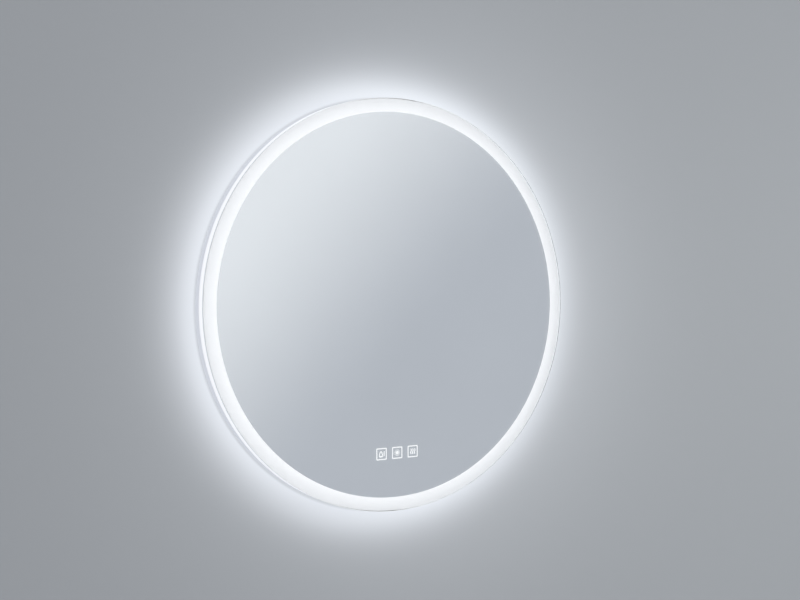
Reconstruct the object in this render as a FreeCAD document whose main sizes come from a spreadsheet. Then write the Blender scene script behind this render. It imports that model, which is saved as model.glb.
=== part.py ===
"""Round lighted bathroom mirror, 600 mm across: front band, lit edge and wall halo.

Frame: the wall is the plane Y = 0 and the room is on the side of -Y. +X is to the right of someone
who looks into the mirror and +Z is up. The origin lies on the wall, midway between the two fixings of
the wall rail. Most pieces are drawn round the centre of the glass and then lowered together by
fixing_height. Below, a "level" is a distance from the wall, counted towards the room. Millimetres.
"""

import FreeCAD, Part
import math
import os
from types import SimpleNamespace

import Sketcher

Vector = FreeCAD.Vector

SIZES = (
    # glass, reflecting film and light band
    ("glass_radius", 300.0, "outer radius of the glass disc"),
    ("glass_thickness", 5.0, "float glass"),
    ("arris", 0.8, "polished bevel on both rims of the glass"),
    ("band_width", 20.0, "frosted band between the silver and the rim"),
    ("film_thickness", 0.3, "silver, copper and backing paint together"),
    ("total_depth", 35.0, "front of the glass to the wall"),
    # rolled aluminium ring and its two light chambers
    ("wall_gap", 4.5, "slot between the ring and the wall that lets the halo out"),
    ("side_light_height", 13.0, "lit height of the opal ring behind the glass"),
    ("section_wall", 1.6, "wall of the extruded ring"),
    ("light_channel", 28.0, "rim of the glass to the strip wall of the ring"),
    ("bond_flange", 16.0, "width of the flange that carries the glass"),
    ("ledge_level", 10.0, "level of the ledge that the back pan lies on"),
    ("ledge_width", 14.4, "width of that ledge"),
    ("lip_width", 2.0, "lips that hold the rear window"),
    ("lip_thickness", 1.2, "thickness of those lips"),
    ("rib_height", 2.5, "rib that centres the opal ring"),
    ("ring_joint", 0.4, "butt joint of the rolled ring, at the bottom"),
    ("fit_gap", 0.3, "loose fit between neighbours"),
    ("bond_gap", 0.1, "glue line on a curved wall"),
    ("tape_thickness", 1.0, "foam tape under the glass"),
    ("tape_margin", 1.0, "tape inside the edges of its flange"),
    ("opal_wall", 2.5, "wall of the opal ring"),
    ("window_thickness", 1.5, "opal rear window"),
    # splice over the butt joint
    ("splice_thickness", 2.0, "splice plate"),
    ("splice_half_angle", 6.0, "degrees from its middle to its end"),
    ("splice_screw_x", 14.0, "its two screws from the joint"),
    ("splice_seat", 0.8, "room between each flat screw head and the curved plate"),
    # light strips
    ("strip_thickness", 0.6, "flexible circuit strip"),
    ("front_strip_width", 8.0, "strip that lights the band and the edge"),
    ("rear_strip_width", 5.0, "strip that lights the wall"),
    ("led_length", 3.5, "light-emitting diode, along the strip"),
    ("led_width", 2.8, "the same, across the strip"),
    ("led_height", 0.8, "the same, off the strip"),
    ("led_count", 72.0, "diodes on each strip"),
    # pressed back pan
    ("pan_sheet", 1.0, "steel sheet"),
    ("plateau_level", 5.0, "rear face of the pressed plateau"),
    ("plateau_margin", 23.4, "edge of the plateau inside the strip wall"),
    ("pan_slope", 5.0, "radial width of the drawn slope"),
    ("recess_width", 310.0, "hanger recess across"),
    ("recess_height", 76.0, "hanger recess up"),
    ("recess_depth", 4.0, "hanger recess, wall side to floor"),
    ("recess_corner", 9.0, "corner radius of the recess"),
    ("recess_lift", 30.0, "centre of the recess above the rail fixings"),
    ("pan_screw_inset", 7.4, "circle of the pan screws inside the strip wall"),
    ("pan_screw_count", 6.0, "pan screws"),
    ("vent_length", 26.0, "vent slot"),
    ("vent_width", 3.5, "vent slot"),
    ("vent_pitch", 11.0, "vent slot to the next"),
    ("vent_count", 5.0, "vent slots in each row"),
    ("lower_vent_inset", 62.0, "row of lower vents from the edge of the plateau"),
    ("upper_vent_inset", 47.0, "row of upper vents from the same edge"),
    ("bead_width", 12.0, "stiffening beads pressed into the plateau"),
    ("bead_length", 210.0, "the same"),
    ("bead_depth", 1.5, "the same"),
    ("bead_z", 45.0, "upper bead above the centre of the glass"),
    ("bead_drop", 160.0, "upper bead to the lower one"),
    # hanger and wall rail
    ("hook_sheet", 1.5, "steel of the hanger and the rail"),
    ("hook_height", 28.5, "hanging edge above the rail fixings"),
    ("hanger_room", 25.0, "hanger to the sides of the recess"),
    ("hanger_plate", 30.0, "riveted plate of the hanger"),
    ("hanger_lip_level", 2.6, "wall side of the hanger's lip"),
    ("hook_reach", 12.5, "how far the hanger's lip reaches down behind the rail"),
    ("hook_play", 0.5, "hanger lip to rail lip"),
    ("hook_seat", 0.2, "hanging edge over the rail at rest"),
    ("hook_clear", 1.5, "room under the hanger's lip"),
    ("rail_room", 10.0, "rail inside each end of the hanger"),
    ("rail_plate_below", 12.0, "rail plate below its fixings"),
    ("rail_slot_pitch", 160.0, "between the two fixings"),
    ("rail_slot_length", 14.0, "fixing slot end to end"),
    ("rail_slot_width", 5.5, "fixing slot across"),
    ("rivet_radius", 2.0, "rivet shank"),
    ("rivet_head_radius", 4.0, "rivet head"),
    ("rivet_head_height", 1.2, "rivet head"),
    ("rivet_inset", 22.0, "end rivets from the hanger's ends"),
    ("rivet_rise", 19.0, "rivets above the hanging edge"),
    ("fixing_drop", 200.0, "rail fixings below the top of the glass"),
    # bumpers
    ("bumper_radius", 8.0, "rubber bumper against the wall"),
    ("bumper_stem", 3.0, "its stem, through the pan"),
    ("bumper_barb", 4.2, "its barb, behind the pan"),
    ("bumper_inset", 32.0, "circle of the bumpers inside the plateau"),
    ("bumper_taper", 20.0, "degrees, slope of the barb"),
    ("upper_bumper_turn", 28.0, "degrees, upper bumpers from the top"),
    ("lower_bumper_turn", 55.0, "degrees, lower bumpers from the bottom"),
    # screws
    ("screw_radius", 1.5, "small machine screws"),
    ("screw_head_radius", 2.9, "their heads"),
    ("screw_head_height", 1.7, "their heads"),
    ("screw_clear", 0.2, "clearance round their shanks"),
    ("thread_clear", 0.05, "the same in a threaded hole"),
    # demister
    ("demister_width", 340.0, "heating film across"),
    ("demister_height", 260.0, "heating film up"),
    ("demister_thickness", 0.5, "heating film"),
    ("demister_corner", 12.0, "its corners"),
    ("tab_width", 22.0, "its terminal cap"),
    ("tab_height", 12.0, "the same"),
    ("tab_thickness", 3.0, "the same"),
    ("tab_x", -30.0, "the same"),
    ("tab_z", 20.0, "the same"),
    # touch keys
    ("key_rise", 83.6, "row of keys above the bottom of the glass"),
    ("key_pitch", 26.4, "key to key"),
    ("key_window", 17.0, "light window behind each key"),
    ("key_wall", 3.0, "foam round the outer windows"),
    ("key_foam", 5.0, "light-tight foam block"),
    ("board_sheet", 1.2, "touch circuit board"),
    ("board_margin", 1.5, "board beyond the foam"),
    ("key_led", 3.0, "diode of each key, square"),
    ("plug_width", 12.0, "plug on the touch board"),
    ("plug_height", 8.0, "the same"),
    ("plug_depth", 4.0, "the same"),
    # cable inlet
    ("inlet_rise", 50.0, "cable inlet above the terminal box"),
    ("inlet_bore", 4.0, "bore radius of the grommet"),
    ("inlet_groove", 7.0, "radius of its groove, in the pan"),
    ("inlet_flange", 9.5, "radius of its flanges"),
    ("inlet_lip", 2.0, "thickness of each flange"),
    # terminal box
    ("box_x", -95.0, "middle of the terminal box and of the cable inlet"),
    ("box_z", -70.0, "the same"),
    ("box_width", 84.0, "the same"),
    ("box_height", 50.0, "the same"),
    ("box_depth", 16.0, "base without its cover"),
    ("box_wall", 2.0, "moulded wall"),
    ("box_corner", 4.0, "outer corners"),
    ("box_ear", 11.0, "fixing ears at both ends"),
    ("box_ear_width", 14.0, "the same"),
    ("notch_width", 8.6, "cable notch in the upper wall"),
    ("notch_depth", 9.0, "the same"),
    ("lead_notch", 3.6, "notches for the inner leads"),
    ("cover_lip", 1.5, "rim of the cover inside the walls"),
    ("block_width", 36.0, "terminal block"),
    ("block_height", 16.0, "the same"),
    ("block_depth", 11.0, "the same"),
    ("block_pitch", 11.0, "pole to pole"),
    ("block_bore", 1.9, "wire bores"),
    ("block_well", 2.2, "screw wells"),
    ("block_shift", 6.0, "block below the middle of the box"),
    ("clamp_pitch", 17.0, "screws of the cord clamp"),
    ("clamp_bar", 3.0, "thickness of the clamp bar"),
    ("clamp_height", 7.0, "width of the clamp bar, up"),
    ("clamp_post", 3.2, "radius of its posts"),
    ("clamp_room", 7.2, "height under the bar"),
    ("clamp_drop", 9.0, "clamp below the upper wall of the box"),
    # light driver
    ("driver_x", 55.0, "middle of the driver"),
    ("driver_z", -70.0, "the same"),
    ("driver_length", 150.0, "the same"),
    ("driver_height", 48.0, "the same"),
    ("driver_depth", 14.0, "case without its lid"),
    ("driver_lid", 2.0, "lid"),
    ("driver_lid_inset", 1.0, "lid inside the rim of the case"),
    ("driver_corner", 4.0, "corners"),
    ("driver_ear", 11.0, "fixing ears"),
    ("ear_sheet", 2.5, "thickness of all fixing ears"),
    # inner leads
    ("lead_radius", 1.1, "inner leads"),
    ("lead_x", 36.0, "lead holes from the joint of the ring"),
    ("lead_hole", 1.7, "lead holes in the strip wall"),
    ("clip_base", 1.5, "glued clips, under the lead"),
    ("clip_length", 6.0, "clips along the lead"),
    ("clip_width", 8.0, "clips across"),
    ("clip_cap", 1.2, "clips over the lead"),
    ("clip_play", 0.2, "clip bore round the lead"),
    ("clip_run", 45.0, "shortest run of a lead that gets a clip"),
    # earth stud
    ("earth_x", -156.0, "earth stud"),
    ("earth_z", -20.0, "earth stud"),
    ("stud_radius", 2.0, "earth stud"),
    ("stud_length", 9.0, "earth stud above the pan"),
    ("nut_radius", 4.0, "earth nut"),
    ("nut_height", 3.2, "earth nut"),
    ("tag_sheet", 0.8, "ring tag on the earth stud"),
    ("tag_radius", 4.6, "the same"),
)


class Size:
    """A length that knows its formula in the sheet and its present value."""

    def __init__(self, formula, value):
        self.formula = formula
        self.value = value

    def __add__(self, other):
        other = as_size(other)
        return Size(f"({self.formula} + {other.formula})", self.value + other.value)

    def __sub__(self, other):
        other = as_size(other)
        return Size(f"({self.formula} - {other.formula})", self.value - other.value)

    def __mul__(self, other):
        other = as_size(other)
        return Size(f"({self.formula} * {other.formula})", self.value * other.value)

    def __truediv__(self, other):
        other = as_size(other)
        return Size(f"({self.formula} / {other.formula})", self.value / other.value)

    def __radd__(self, other):
        return as_size(other) + self

    def __rsub__(self, other):
        return as_size(other) - self

    def __rmul__(self, other):
        return as_size(other) * self

    def __neg__(self):
        return as_size(0) - self

    def __float__(self):
        return self.value


def as_size(number):
    """A bare number as a Size, so that both kinds can be mixed."""
    if isinstance(number, Size):
        return number
    return Size(f"({float(number):.9f})", float(number))


def tie(item, name, length):
    """Tie a property or a constraint to its formula in the sheet."""
    item.setExpression(name, as_size(length).formula)


# ---------------------------------------------------------------- document and sheet

doc = FreeCAD.newDocument("lighted_mirror")
sheet = doc.addObject("Spreadsheet::Sheet", "size")
for row, (alias, number, meaning) in enumerate(SIZES, start=1):
    sheet.set(f"A{row}", meaning)
    sheet.set(f"B{row}", str(number))
    sheet.setAlias(f"B{row}", alias)
doc.recompute()
size = SimpleNamespace(**{alias: Size("size." + alias, number) for alias, number, _ in SIZES})

parts = []
cuts = []

# levels (distances from the wall) and radii that several pieces share
back_level = size.total_depth - size.glass_thickness
film_level = back_level - size.film_thickness
bond_level = film_level - size.tape_thickness
web_level = back_level - size.side_light_height
web_rear = web_level - size.section_wall
silver_radius = size.glass_radius - size.band_width
strip_radius = size.glass_radius - size.light_channel
inner_radius = strip_radius - size.section_wall
flange_radius = strip_radius - size.bond_flange
shell_radius = size.glass_radius - size.section_wall
opal_radius = size.glass_radius - size.opal_wall
window_level = size.wall_gap + size.lip_thickness
plateau_inside = size.plateau_level + size.pan_sheet
recess_floor = size.plateau_level + size.recess_depth
ledge_top = size.ledge_level + size.section_wall
opal_inside = film_level - size.opal_wall
front_strip_level = (web_level + opal_inside) / 2
rear_strip_level = (window_level + size.window_thickness + web_rear) / 2
rear_lead_level = ledge_top + size.lead_hole
fixing_height = size.glass_radius - size.fixing_drop
hook_z = fixing_height + size.hook_height
hanger_length = size.recess_width - size.hanger_room * 2
plateau_radius = inner_radius - size.plateau_margin
key_z = size.key_rise - size.glass_radius
inlet_z = size.box_z + size.box_height / 2 + size.inlet_rise
key_board_level = film_level - size.key_foam
run_level = plateau_inside + size.clip_base + size.lead_radius + size.clip_play


# ---------------------------------------------------------------- how pieces are drawn

VIEWS = {
    # name: (origin plane, turn of the sketch on it); the sketch axes are then
    "front": ("XZ_Plane", FreeCAD.Rotation()),  # (x, z), offset = level
    "section": ("XY_Plane", FreeCAD.Rotation(Vector(1, 0, 0), 180)),  # (x or radius, level), offset = z
    "side": ("YZ_Plane", FreeCAD.Rotation(Vector(0, 1, 0), 180)),  # (level, z), offset = x
}


def new_body(label):
    """An empty body, hung with the glass so that its own origin is the glass centre."""
    body = doc.addObject("PartDesign::Body", label)
    body.Label = label
    tie(body, "Placement.Base.z", -fixing_height)
    parts.append(body)
    return body


def outline(body, view, offset=0):
    """An empty sketch on one of the body's own planes, moved off it by the offset."""
    role, turn = VIEWS[view]
    sketch = body.newObject("Sketcher::SketchObject", "outline")
    plane = next(item for item in body.Origin.OriginFeatures if item.Role == role)
    sketch.AttachmentSupport = [(plane, "")]
    sketch.MapMode = "FlatFace"
    sketch.AttachmentOffset = FreeCAD.Placement(Vector(0, 0, float(offset)), turn)
    tie(sketch, "AttachmentOffset.Base.z", offset)
    return sketch


def hold(sketch, kind, length, *where):
    """A constraint of the given kind whose length follows the sheet."""
    index = sketch.addConstraint(Sketcher.Constraint(kind, *where, float(length)))
    if isinstance(length, Size):
        tie(sketch, f"Constraints[{index}]", length)


def hold_point(sketch, edge, end, x, y):
    """Hold one end (1, 2) or the centre (3) of an edge at (x, y)."""
    hold(sketch, "DistanceX", x, -1, 1, edge, end)
    hold(sketch, "DistanceY", y, -1, 1, edge, end)


def polygon(sketch, corners):
    """A closed outline of straight edges through the corners."""
    spots = [Vector(float(x), float(y), 0) for x, y in corners]
    edges = [
        sketch.addGeometry(Part.LineSegment(spots[i], spots[(i + 1) % len(spots)]))
        for i in range(len(spots))
    ]
    for i, edge in enumerate(edges):
        sketch.addConstraint(
            Sketcher.Constraint("Coincident", edge, 2, edges[(i + 1) % len(edges)], 1)
        )
        hold_point(sketch, edge, 1, *corners[i])


def rectangle(sketch, x, y, width, height):
    """A rectangle round its middle."""
    left, right = x - width / 2, x + width / 2
    low, high = y - height / 2, y + height / 2
    polygon(sketch, [(left, low), (right, low), (right, high), (left, high)])


def rounded(sketch, x, y, width, height, corner):
    """A rectangle round its middle with four tangent corner arcs."""
    signs = ((1, 1), (-1, 1), (-1, -1), (1, -1))
    arcs = []
    for quarter, (right, up) in enumerate(signs):
        centre = (x + right * (width / 2 - corner), y + up * (height / 2 - corner))
        circle = Part.Circle(
            Vector(float(centre[0]), float(centre[1]), 0), Vector(0, 0, 1), float(corner)
        )
        start = quarter * math.pi / 2
        arc = sketch.addGeometry(Part.ArcOfCircle(circle, start, start + math.pi / 2))
        hold_point(sketch, arc, 3, *centre)
        hold(sketch, "Radius", corner, arc)
        arcs.append(arc)
    for i, arc in enumerate(arcs):
        after = arcs[(i + 1) % 4]
        line = sketch.addGeometry(
            Part.LineSegment(sketch.Geometry[arc].EndPoint, sketch.Geometry[after].StartPoint)
        )
        sketch.addConstraint(Sketcher.Constraint("Tangent", arc, 2, line, 1))
        sketch.addConstraint(Sketcher.Constraint("Tangent", line, 2, after, 1))


def slot(sketch, x, y, length, width, upright=False):
    """A slot with round ends, lying along the sketch's first axis or standing upright."""
    reach = (length - width) / 2
    turned = math.pi / 2 if upright else 0.0
    arcs = []
    for sign in (1, -1):
        centre = (x, y + sign * reach) if upright else (x + sign * reach, y)
        circle = Part.Circle(
            Vector(float(centre[0]), float(centre[1]), 0), Vector(0, 0, 1), float(width) / 2
        )
        start = turned - sign * math.pi / 2
        arc = sketch.addGeometry(Part.ArcOfCircle(circle, start, start + math.pi))
        hold_point(sketch, arc, 3, *centre)
        arcs.append(arc)
    hold(sketch, "Radius", width / 2, arcs[0])
    for arc, after in (arcs, arcs[::-1]):
        line = sketch.addGeometry(
            Part.LineSegment(sketch.Geometry[arc].EndPoint, sketch.Geometry[after].StartPoint)
        )
        sketch.addConstraint(Sketcher.Constraint("Tangent", arc, 2, line, 1))
        sketch.addConstraint(Sketcher.Constraint("Tangent", line, 2, after, 1))


def circles(sketch, places, radius):
    """Equal circles at several places."""
    for x, y in places:
        edge = sketch.addGeometry(
            Part.Circle(Vector(float(x), float(y), 0), Vector(0, 0, 1), float(radius))
        )
        hold_point(sketch, edge, 3, x, y)
        hold(sketch, "Radius", radius, edge)


def hexagons(sketch, places, radius):
    """Equal six-sided outlines at several places."""
    for x, y in places:
        turns = [math.radians(60 * i) for i in range(6)]
        polygon(sketch, [(x + radius * math.cos(a), y + radius * math.sin(a)) for a in turns])


def pad(body, sketch, length, symmetric=False, back=False):
    """Thicken a sketch towards the room, or both ways, or back towards the wall."""
    feature = body.newObject("PartDesign::Pad", "pad")
    feature.Profile = sketch
    feature.Midplane = symmetric
    feature.Reversed = back
    tie(feature, "Length", length)
    return feature


def pocket(body, sketch, length, back=False):
    """Cut a sketch towards the wall, or back towards the room."""
    feature = body.newObject("PartDesign::Pocket", "pocket")
    feature.Profile = sketch
    feature.Reversed = back
    tie(feature, "Length", length)
    cuts.append(feature)
    return feature


def revolve(body, corners):
    """Turn a half section of (radius, level) corners right round the glass axis."""
    sketch = outline(body, "section")
    polygon(sketch, corners)
    feature = body.newObject("PartDesign::Revolution", "turn")
    feature.Profile = sketch
    feature.ReferenceAxis = (sketch, ["V_Axis"])
    feature.Angle = 360
    return feature


def ring(label, inner, outer, low, high):
    """A plain ring between two radii and two levels."""
    body = new_body(label)
    revolve(body, [(inner, low), (outer, low), (outer, high), (inner, high)])
    return body


def around(radius, count, first=0.0):
    """Places evenly round a circle, from the first angle in degrees."""
    turns = [math.radians(first + 360.0 * i / count) for i in range(int(count))]
    return [(radius * math.cos(a), radius * math.sin(a)) for a in turns]


def screws(label, places, seat, length, towards_room):
    """Screws on one plane: heads, and shanks that run into the piece they hold.

    seat is the level under the heads. The shanks run towards the room when towards_room is true.
    """
    body = new_body(label)
    sketch = outline(body, "front", seat)
    circles(sketch, places, size.screw_head_radius)
    pad(body, sketch, size.screw_head_height, back=towards_room)
    sketch = outline(body, "front", seat)
    circles(sketch, places, size.screw_radius)
    pad(body, sketch, length, back=not towards_room)


# ---------------------------------------------------------------- glass and its films


def mirror_glass():
    """The float glass disc with a polished arris round both rims."""
    body = new_body("mirror_glass")
    rim, low, high, arris = size.glass_radius, back_level, size.total_depth, size.arris
    revolve(
        body,
        [
            (0, low),
            (rim - arris, low),
            (rim, low + arris),
            (rim, high - arris),
            (rim - arris, high),
            (0, high),
        ],
    )


def silver_coating():
    """The silvered and painted back of the glass, which stops short of the rim."""
    ring("silver_coating", 0, silver_radius, film_level, back_level)


def bonding_tape():
    """The foam tape between the ring's flange and the painted back of the glass."""
    inner = flange_radius + size.tape_margin
    ring("bonding_tape", inner, strip_radius - size.tape_margin, bond_level, film_level)


def demister_pad():
    """The heating film glued behind the middle of the glass, with its terminal cap."""
    body = new_body("demister_pad")
    low = film_level - size.demister_thickness
    sketch = outline(body, "front", low)
    rounded(sketch, 0, 0, size.demister_width, size.demister_height, size.demister_corner)
    pad(body, sketch, size.demister_thickness)
    sketch = outline(body, "front", low - size.tab_thickness)
    rounded(sketch, size.tab_x, size.tab_z, size.tab_width, size.tab_height, size.fit_gap * 10)
    pad(body, sketch, size.tab_thickness)


# ---------------------------------------------------------------- ring and light chambers


def opal_diffuser_ring():
    """The opal ring behind the frosted band; its outer wall is the lit edge of the mirror."""
    inner = strip_radius + size.fit_gap
    body = new_body("opal_diffuser_ring")
    revolve(
        body,
        [
            (inner, opal_inside),
            (opal_radius, opal_inside),
            (opal_radius, web_level),
            (size.glass_radius, web_level),
            (size.glass_radius, film_level),
            (inner, film_level),
        ],
    )


def lead_holes():
    """Where the two strip leads pass the strip wall: (x, level), front lead first."""
    return [(-size.lead_x, front_strip_level), (size.lead_x, rear_lead_level)]


def splice_holes():
    """The two screw places of the splice plate, one each side of the joint: (x, level)."""
    middle = (ledge_top + bond_level - size.section_wall) / 2
    return [(side * size.splice_screw_x, middle) for side in (-1, 1)]


def pan_screw_places():
    """The screws that hold the back pan to the ledge, with the joint of the ring between two."""
    count = size.pan_screw_count.value
    return around(inner_radius - size.pan_screw_inset, count, 270 + 180 / count)


def chassis_ring():
    """The extruded aluminium section, rolled into a ring and butted at the bottom.

    One web parts the front light chamber from the rear one. The strip wall carries both light
    strips, the flange in front the glass, the ledge behind the back pan, and two lips the window.
    """
    wall = size.section_wall
    rim, shell = size.glass_radius, shell_radius
    rib = opal_radius - size.fit_gap
    lip_edge = strip_radius + size.lip_width
    shell_lip = shell - size.lip_width
    flange_back = bond_level - wall
    body = new_body("chassis_ring")
    revolve(
        body,
        [
            (rim, size.wall_gap),
            (rim, web_level),
            (rib, web_level),
            (rib, web_level + size.rib_height),
            (rib - wall, web_level + size.rib_height),
            (rib - wall, web_level),
            (strip_radius, web_level),
            (strip_radius, bond_level),
            (flange_radius, bond_level),
            (flange_radius, flange_back),
            (inner_radius, flange_back),
            (inner_radius, ledge_top),
            (inner_radius - size.ledge_width, ledge_top),
            (inner_radius - size.ledge_width, size.ledge_level),
            (inner_radius, size.ledge_level),
            (inner_radius, size.wall_gap),
            (lip_edge, size.wall_gap),
            (lip_edge, window_level),
            (strip_radius, window_level),
            (strip_radius, web_rear),
            (shell, web_rear),
            (shell, window_level),
            (shell_lip, window_level),
            (shell_lip, size.wall_gap),
        ],
    )
    sketch = outline(body, "front", ledge_top)
    circles(sketch, pan_screw_places(), size.screw_radius + size.thread_clear)
    pocket(body, sketch, wall)
    start = -(inner_radius - size.light_channel / 2)
    reach = size.light_channel / 2 + wall
    sketch = outline(body, "section", start)
    circles(sketch, splice_holes(), size.screw_radius + size.thread_clear)
    pocket(body, sketch, reach, back=True)
    sketch = outline(body, "section", start)
    circles(sketch, lead_holes(), size.lead_hole)
    pocket(body, sketch, reach, back=True)
    sketch = outline(body, "front", bond_level)
    middle = -(flange_radius + rim) / 2
    rectangle(sketch, 0, middle, size.ring_joint, size.bond_flange * 2 + size.light_channel)
    pocket(body, sketch, bond_level - size.wall_gap)


def ring_splice():
    """The curved plate screwed over the butt joint of the ring, on its inside."""
    outer = inner_radius - size.bond_gap
    inner = outer - size.splice_thickness
    half = math.radians(size.splice_half_angle.value)
    low = ledge_top + size.fit_gap
    body = new_body("ring_splice")
    sketch = outline(body, "front", low)
    bottom = 1.5 * math.pi
    arcs = []
    for radius in (inner, outer):
        circle = Part.Circle(Vector(0, 0, 0), Vector(0, 0, 1), float(radius))
        arc = sketch.addGeometry(Part.ArcOfCircle(circle, bottom - half, bottom + half))
        sketch.addConstraint(Sketcher.Constraint("Coincident", arc, 3, -1, 1))
        hold(sketch, "Radius", radius, arc)
        hold(sketch, "DistanceX", -radius * math.sin(half), -1, 1, arc, 1)
        hold(sketch, "DistanceX", radius * math.sin(half), -1, 1, arc, 2)
        arcs.append(arc)
    for end in (1, 2):
        near, far = (sketch.Geometry[arc] for arc in arcs)
        spots = (near.StartPoint, far.StartPoint) if end == 1 else (near.EndPoint, far.EndPoint)
        line = sketch.addGeometry(Part.LineSegment(*spots))
        sketch.addConstraint(Sketcher.Constraint("Coincident", line, 1, arcs[0], end))
        sketch.addConstraint(Sketcher.Constraint("Coincident", line, 2, arcs[1], end))
    pad(body, sketch, bond_level - size.section_wall - size.fit_gap - low)
    seat = inner - size.splice_seat
    sketch = outline(body, "section", -seat)
    circles(sketch, splice_holes(), size.screw_radius + size.screw_clear)
    pocket(body, sketch, outer - seat + size.fit_gap, back=True)


def splice_screws():
    """Two screws through the splice plate into the strip wall, square to the joint."""
    seat = inner_radius - size.bond_gap - size.splice_thickness - size.splice_seat
    length = strip_radius - size.splice_seat - seat
    body = new_body("splice_screws")
    sketch = outline(body, "section", -seat)
    circles(sketch, splice_holes(), size.screw_head_radius)
    pad(body, sketch, size.screw_head_height, back=True)
    sketch = outline(body, "section", -seat)
    circles(sketch, splice_holes(), size.screw_radius)
    pad(body, sketch, length)


def rear_window_ring():
    """The flat opal ring that slides between the lips and lets the rear light out."""
    top = window_level + size.window_thickness
    ring(
        "rear_window_ring",
        strip_radius + size.fit_gap,
        shell_radius - size.fit_gap,
        window_level,
        top,
    )


def light_strip(name, level, width):
    """A flexible strip on the strip wall and its diodes, evenly round the ring."""
    inner = strip_radius + size.bond_gap
    outer = inner + size.strip_thickness
    ring(name + "_strip", inner, outer, level - width / 2, level + width / 2)
    body = new_body(name + "_leds")
    sketch = outline(body, "front", level - size.led_width / 2)
    seat = outer + size.bond_gap / 2
    rectangle(sketch, 0, seat + size.led_height / 2, size.led_length, size.led_height)
    first = pad(body, sketch, size.led_width)
    pattern = body.newObject("PartDesign::PolarPattern", "round_the_ring")
    pattern.Originals = [first]
    pattern.Axis = (sketch, ["N_Axis"])
    pattern.Angle = 360
    tie(pattern, "Occurrences", size.led_count)
    body.Tip = pattern


# ---------------------------------------------------------------- back pan


def rivet_places():
    """Four rivets in a row through the hanger and the floor of the recess."""
    reach = hanger_length / 2 - size.rivet_inset
    return [(reach * share, hook_z + size.rivet_rise) for share in (-1, -1 / 3, 1 / 3, 1)]


def bumper_places():
    """Two bumpers above the hanger and two low down, clear of the recess."""
    circle = plateau_radius - size.bumper_inset
    upper, lower = size.upper_bumper_turn.value, size.lower_bumper_turn.value
    turns = [math.radians(a) for a in (90 - upper, 90 + upper, 270 - lower, 270 + lower)]
    return [(circle * math.cos(a), circle * math.sin(a)) for a in turns]


def box_ear_places():
    """The two screws that hold the terminal box."""
    reach = size.box_width / 2 + size.box_ear / 2
    return [(size.box_x - reach, size.box_z), (size.box_x + reach, size.box_z)]


def driver_ear_places():
    """The two screws that hold the driver."""
    reach = size.driver_length / 2 + size.driver_ear / 2
    return [(size.driver_x - reach, size.driver_z), (size.driver_x + reach, size.driver_z)]


def back_pan():
    """The pressed steel pan: flange, drawn plateau, hanger recess, beads, vents and holes."""
    sheet_mm = size.pan_sheet
    low, inside = size.plateau_level, plateau_inside
    flange_rear = size.ledge_level - sheet_mm
    edge, foot = plateau_radius, plateau_radius + size.pan_slope
    bend = sheet_mm / 2
    outer = inner_radius - size.fit_gap
    body = new_body("back_pan")
    revolve(
        body,
        [
            (0, low),
            (edge, low),
            (foot, flange_rear),
            (outer, flange_rear),
            (outer, size.ledge_level),
            (foot - bend, size.ledge_level),
            (edge - bend, inside),
            (0, inside),
        ],
    )
    middle = fixing_height + size.recess_lift
    pressed_box(
        body, 0, middle, size.recess_width, size.recess_height, size.recess_corner, size.recess_depth
    )
    for z in (size.bead_z, size.bead_z - size.bead_drop):
        pressed_box(
            body, 0, z, size.bead_length, size.bead_width, size.bead_width / 3, size.bead_depth
        )
    openings = outline(body, "front", inside)
    count = int(size.vent_count.value)
    for z in (size.lower_vent_inset - plateau_radius, plateau_radius - size.upper_vent_inset):
        for i in range(count):
            x = size.vent_pitch * (i - (count - 1) / 2)
            slot(openings, x, z, size.vent_length, size.vent_width, upright=True)
    circles(openings, bumper_places(), size.bumper_stem + size.screw_clear)
    circles(openings, [(size.box_x, inlet_z)], size.inlet_groove + size.screw_clear)
    ears = box_ear_places() + driver_ear_places()
    circles(openings, ears, size.screw_radius + size.thread_clear)
    circles(openings, [(size.earth_x, size.earth_z)], size.stud_radius + size.thread_clear)
    pocket(body, openings, sheet_mm)
    sketch = outline(body, "front", size.ledge_level)
    circles(sketch, pan_screw_places(), size.screw_radius + size.screw_clear)
    circles(sketch, rivet_places(), size.rivet_radius + size.thread_clear)
    pocket(body, sketch, sheet_mm)


def pressed_box(body, x, z, width, height, corner, depth):
    """Press a flat-bottomed box of one sheet thickness into the plateau, from the wall side."""
    sheet_mm = size.pan_sheet
    sketch = outline(body, "front", size.plateau_level)
    rounded(sketch, x, z, width + sheet_mm * 2, height + sheet_mm * 2, corner + sheet_mm)
    pad(body, sketch, depth + sheet_mm)
    sketch = outline(body, "front", size.plateau_level + depth)
    rounded(sketch, x, z, width, height, corner)
    pocket(body, sketch, depth)


def pan_screws():
    """Screws from behind, through the pan's flange into the ring's ledge."""
    length = size.pan_sheet + size.section_wall + size.fit_gap
    seat = size.ledge_level - size.pan_sheet
    screws("pan_screws", pan_screw_places(), seat, length, towards_room=True)


# ---------------------------------------------------------------- hanging


def hanger_bracket():
    """The mirror's half of the hook: a riveted plate, a step, and a lip that points down."""
    sheet_mm = size.hook_sheet
    plate, lip = recess_floor, size.hanger_lip_level
    body = new_body("hanger_bracket")
    sketch = outline(body, "side")
    corners = [
        (plate, hook_z),
        (plate, hook_z + size.hanger_plate),
        (plate - sheet_mm, hook_z + size.hanger_plate),
        (plate - sheet_mm, hook_z + sheet_mm),
        (lip, hook_z + sheet_mm),
        (lip, hook_z - size.hook_reach),
        (lip + sheet_mm, hook_z - size.hook_reach),
        (lip + sheet_mm, hook_z),
    ]
    polygon(sketch, corners)
    pad(body, sketch, hanger_length, symmetric=True)
    sketch = outline(body, "front", plate)
    circles(sketch, rivet_places(), size.rivet_radius + size.thread_clear)
    pocket(body, sketch, sheet_mm)


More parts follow.
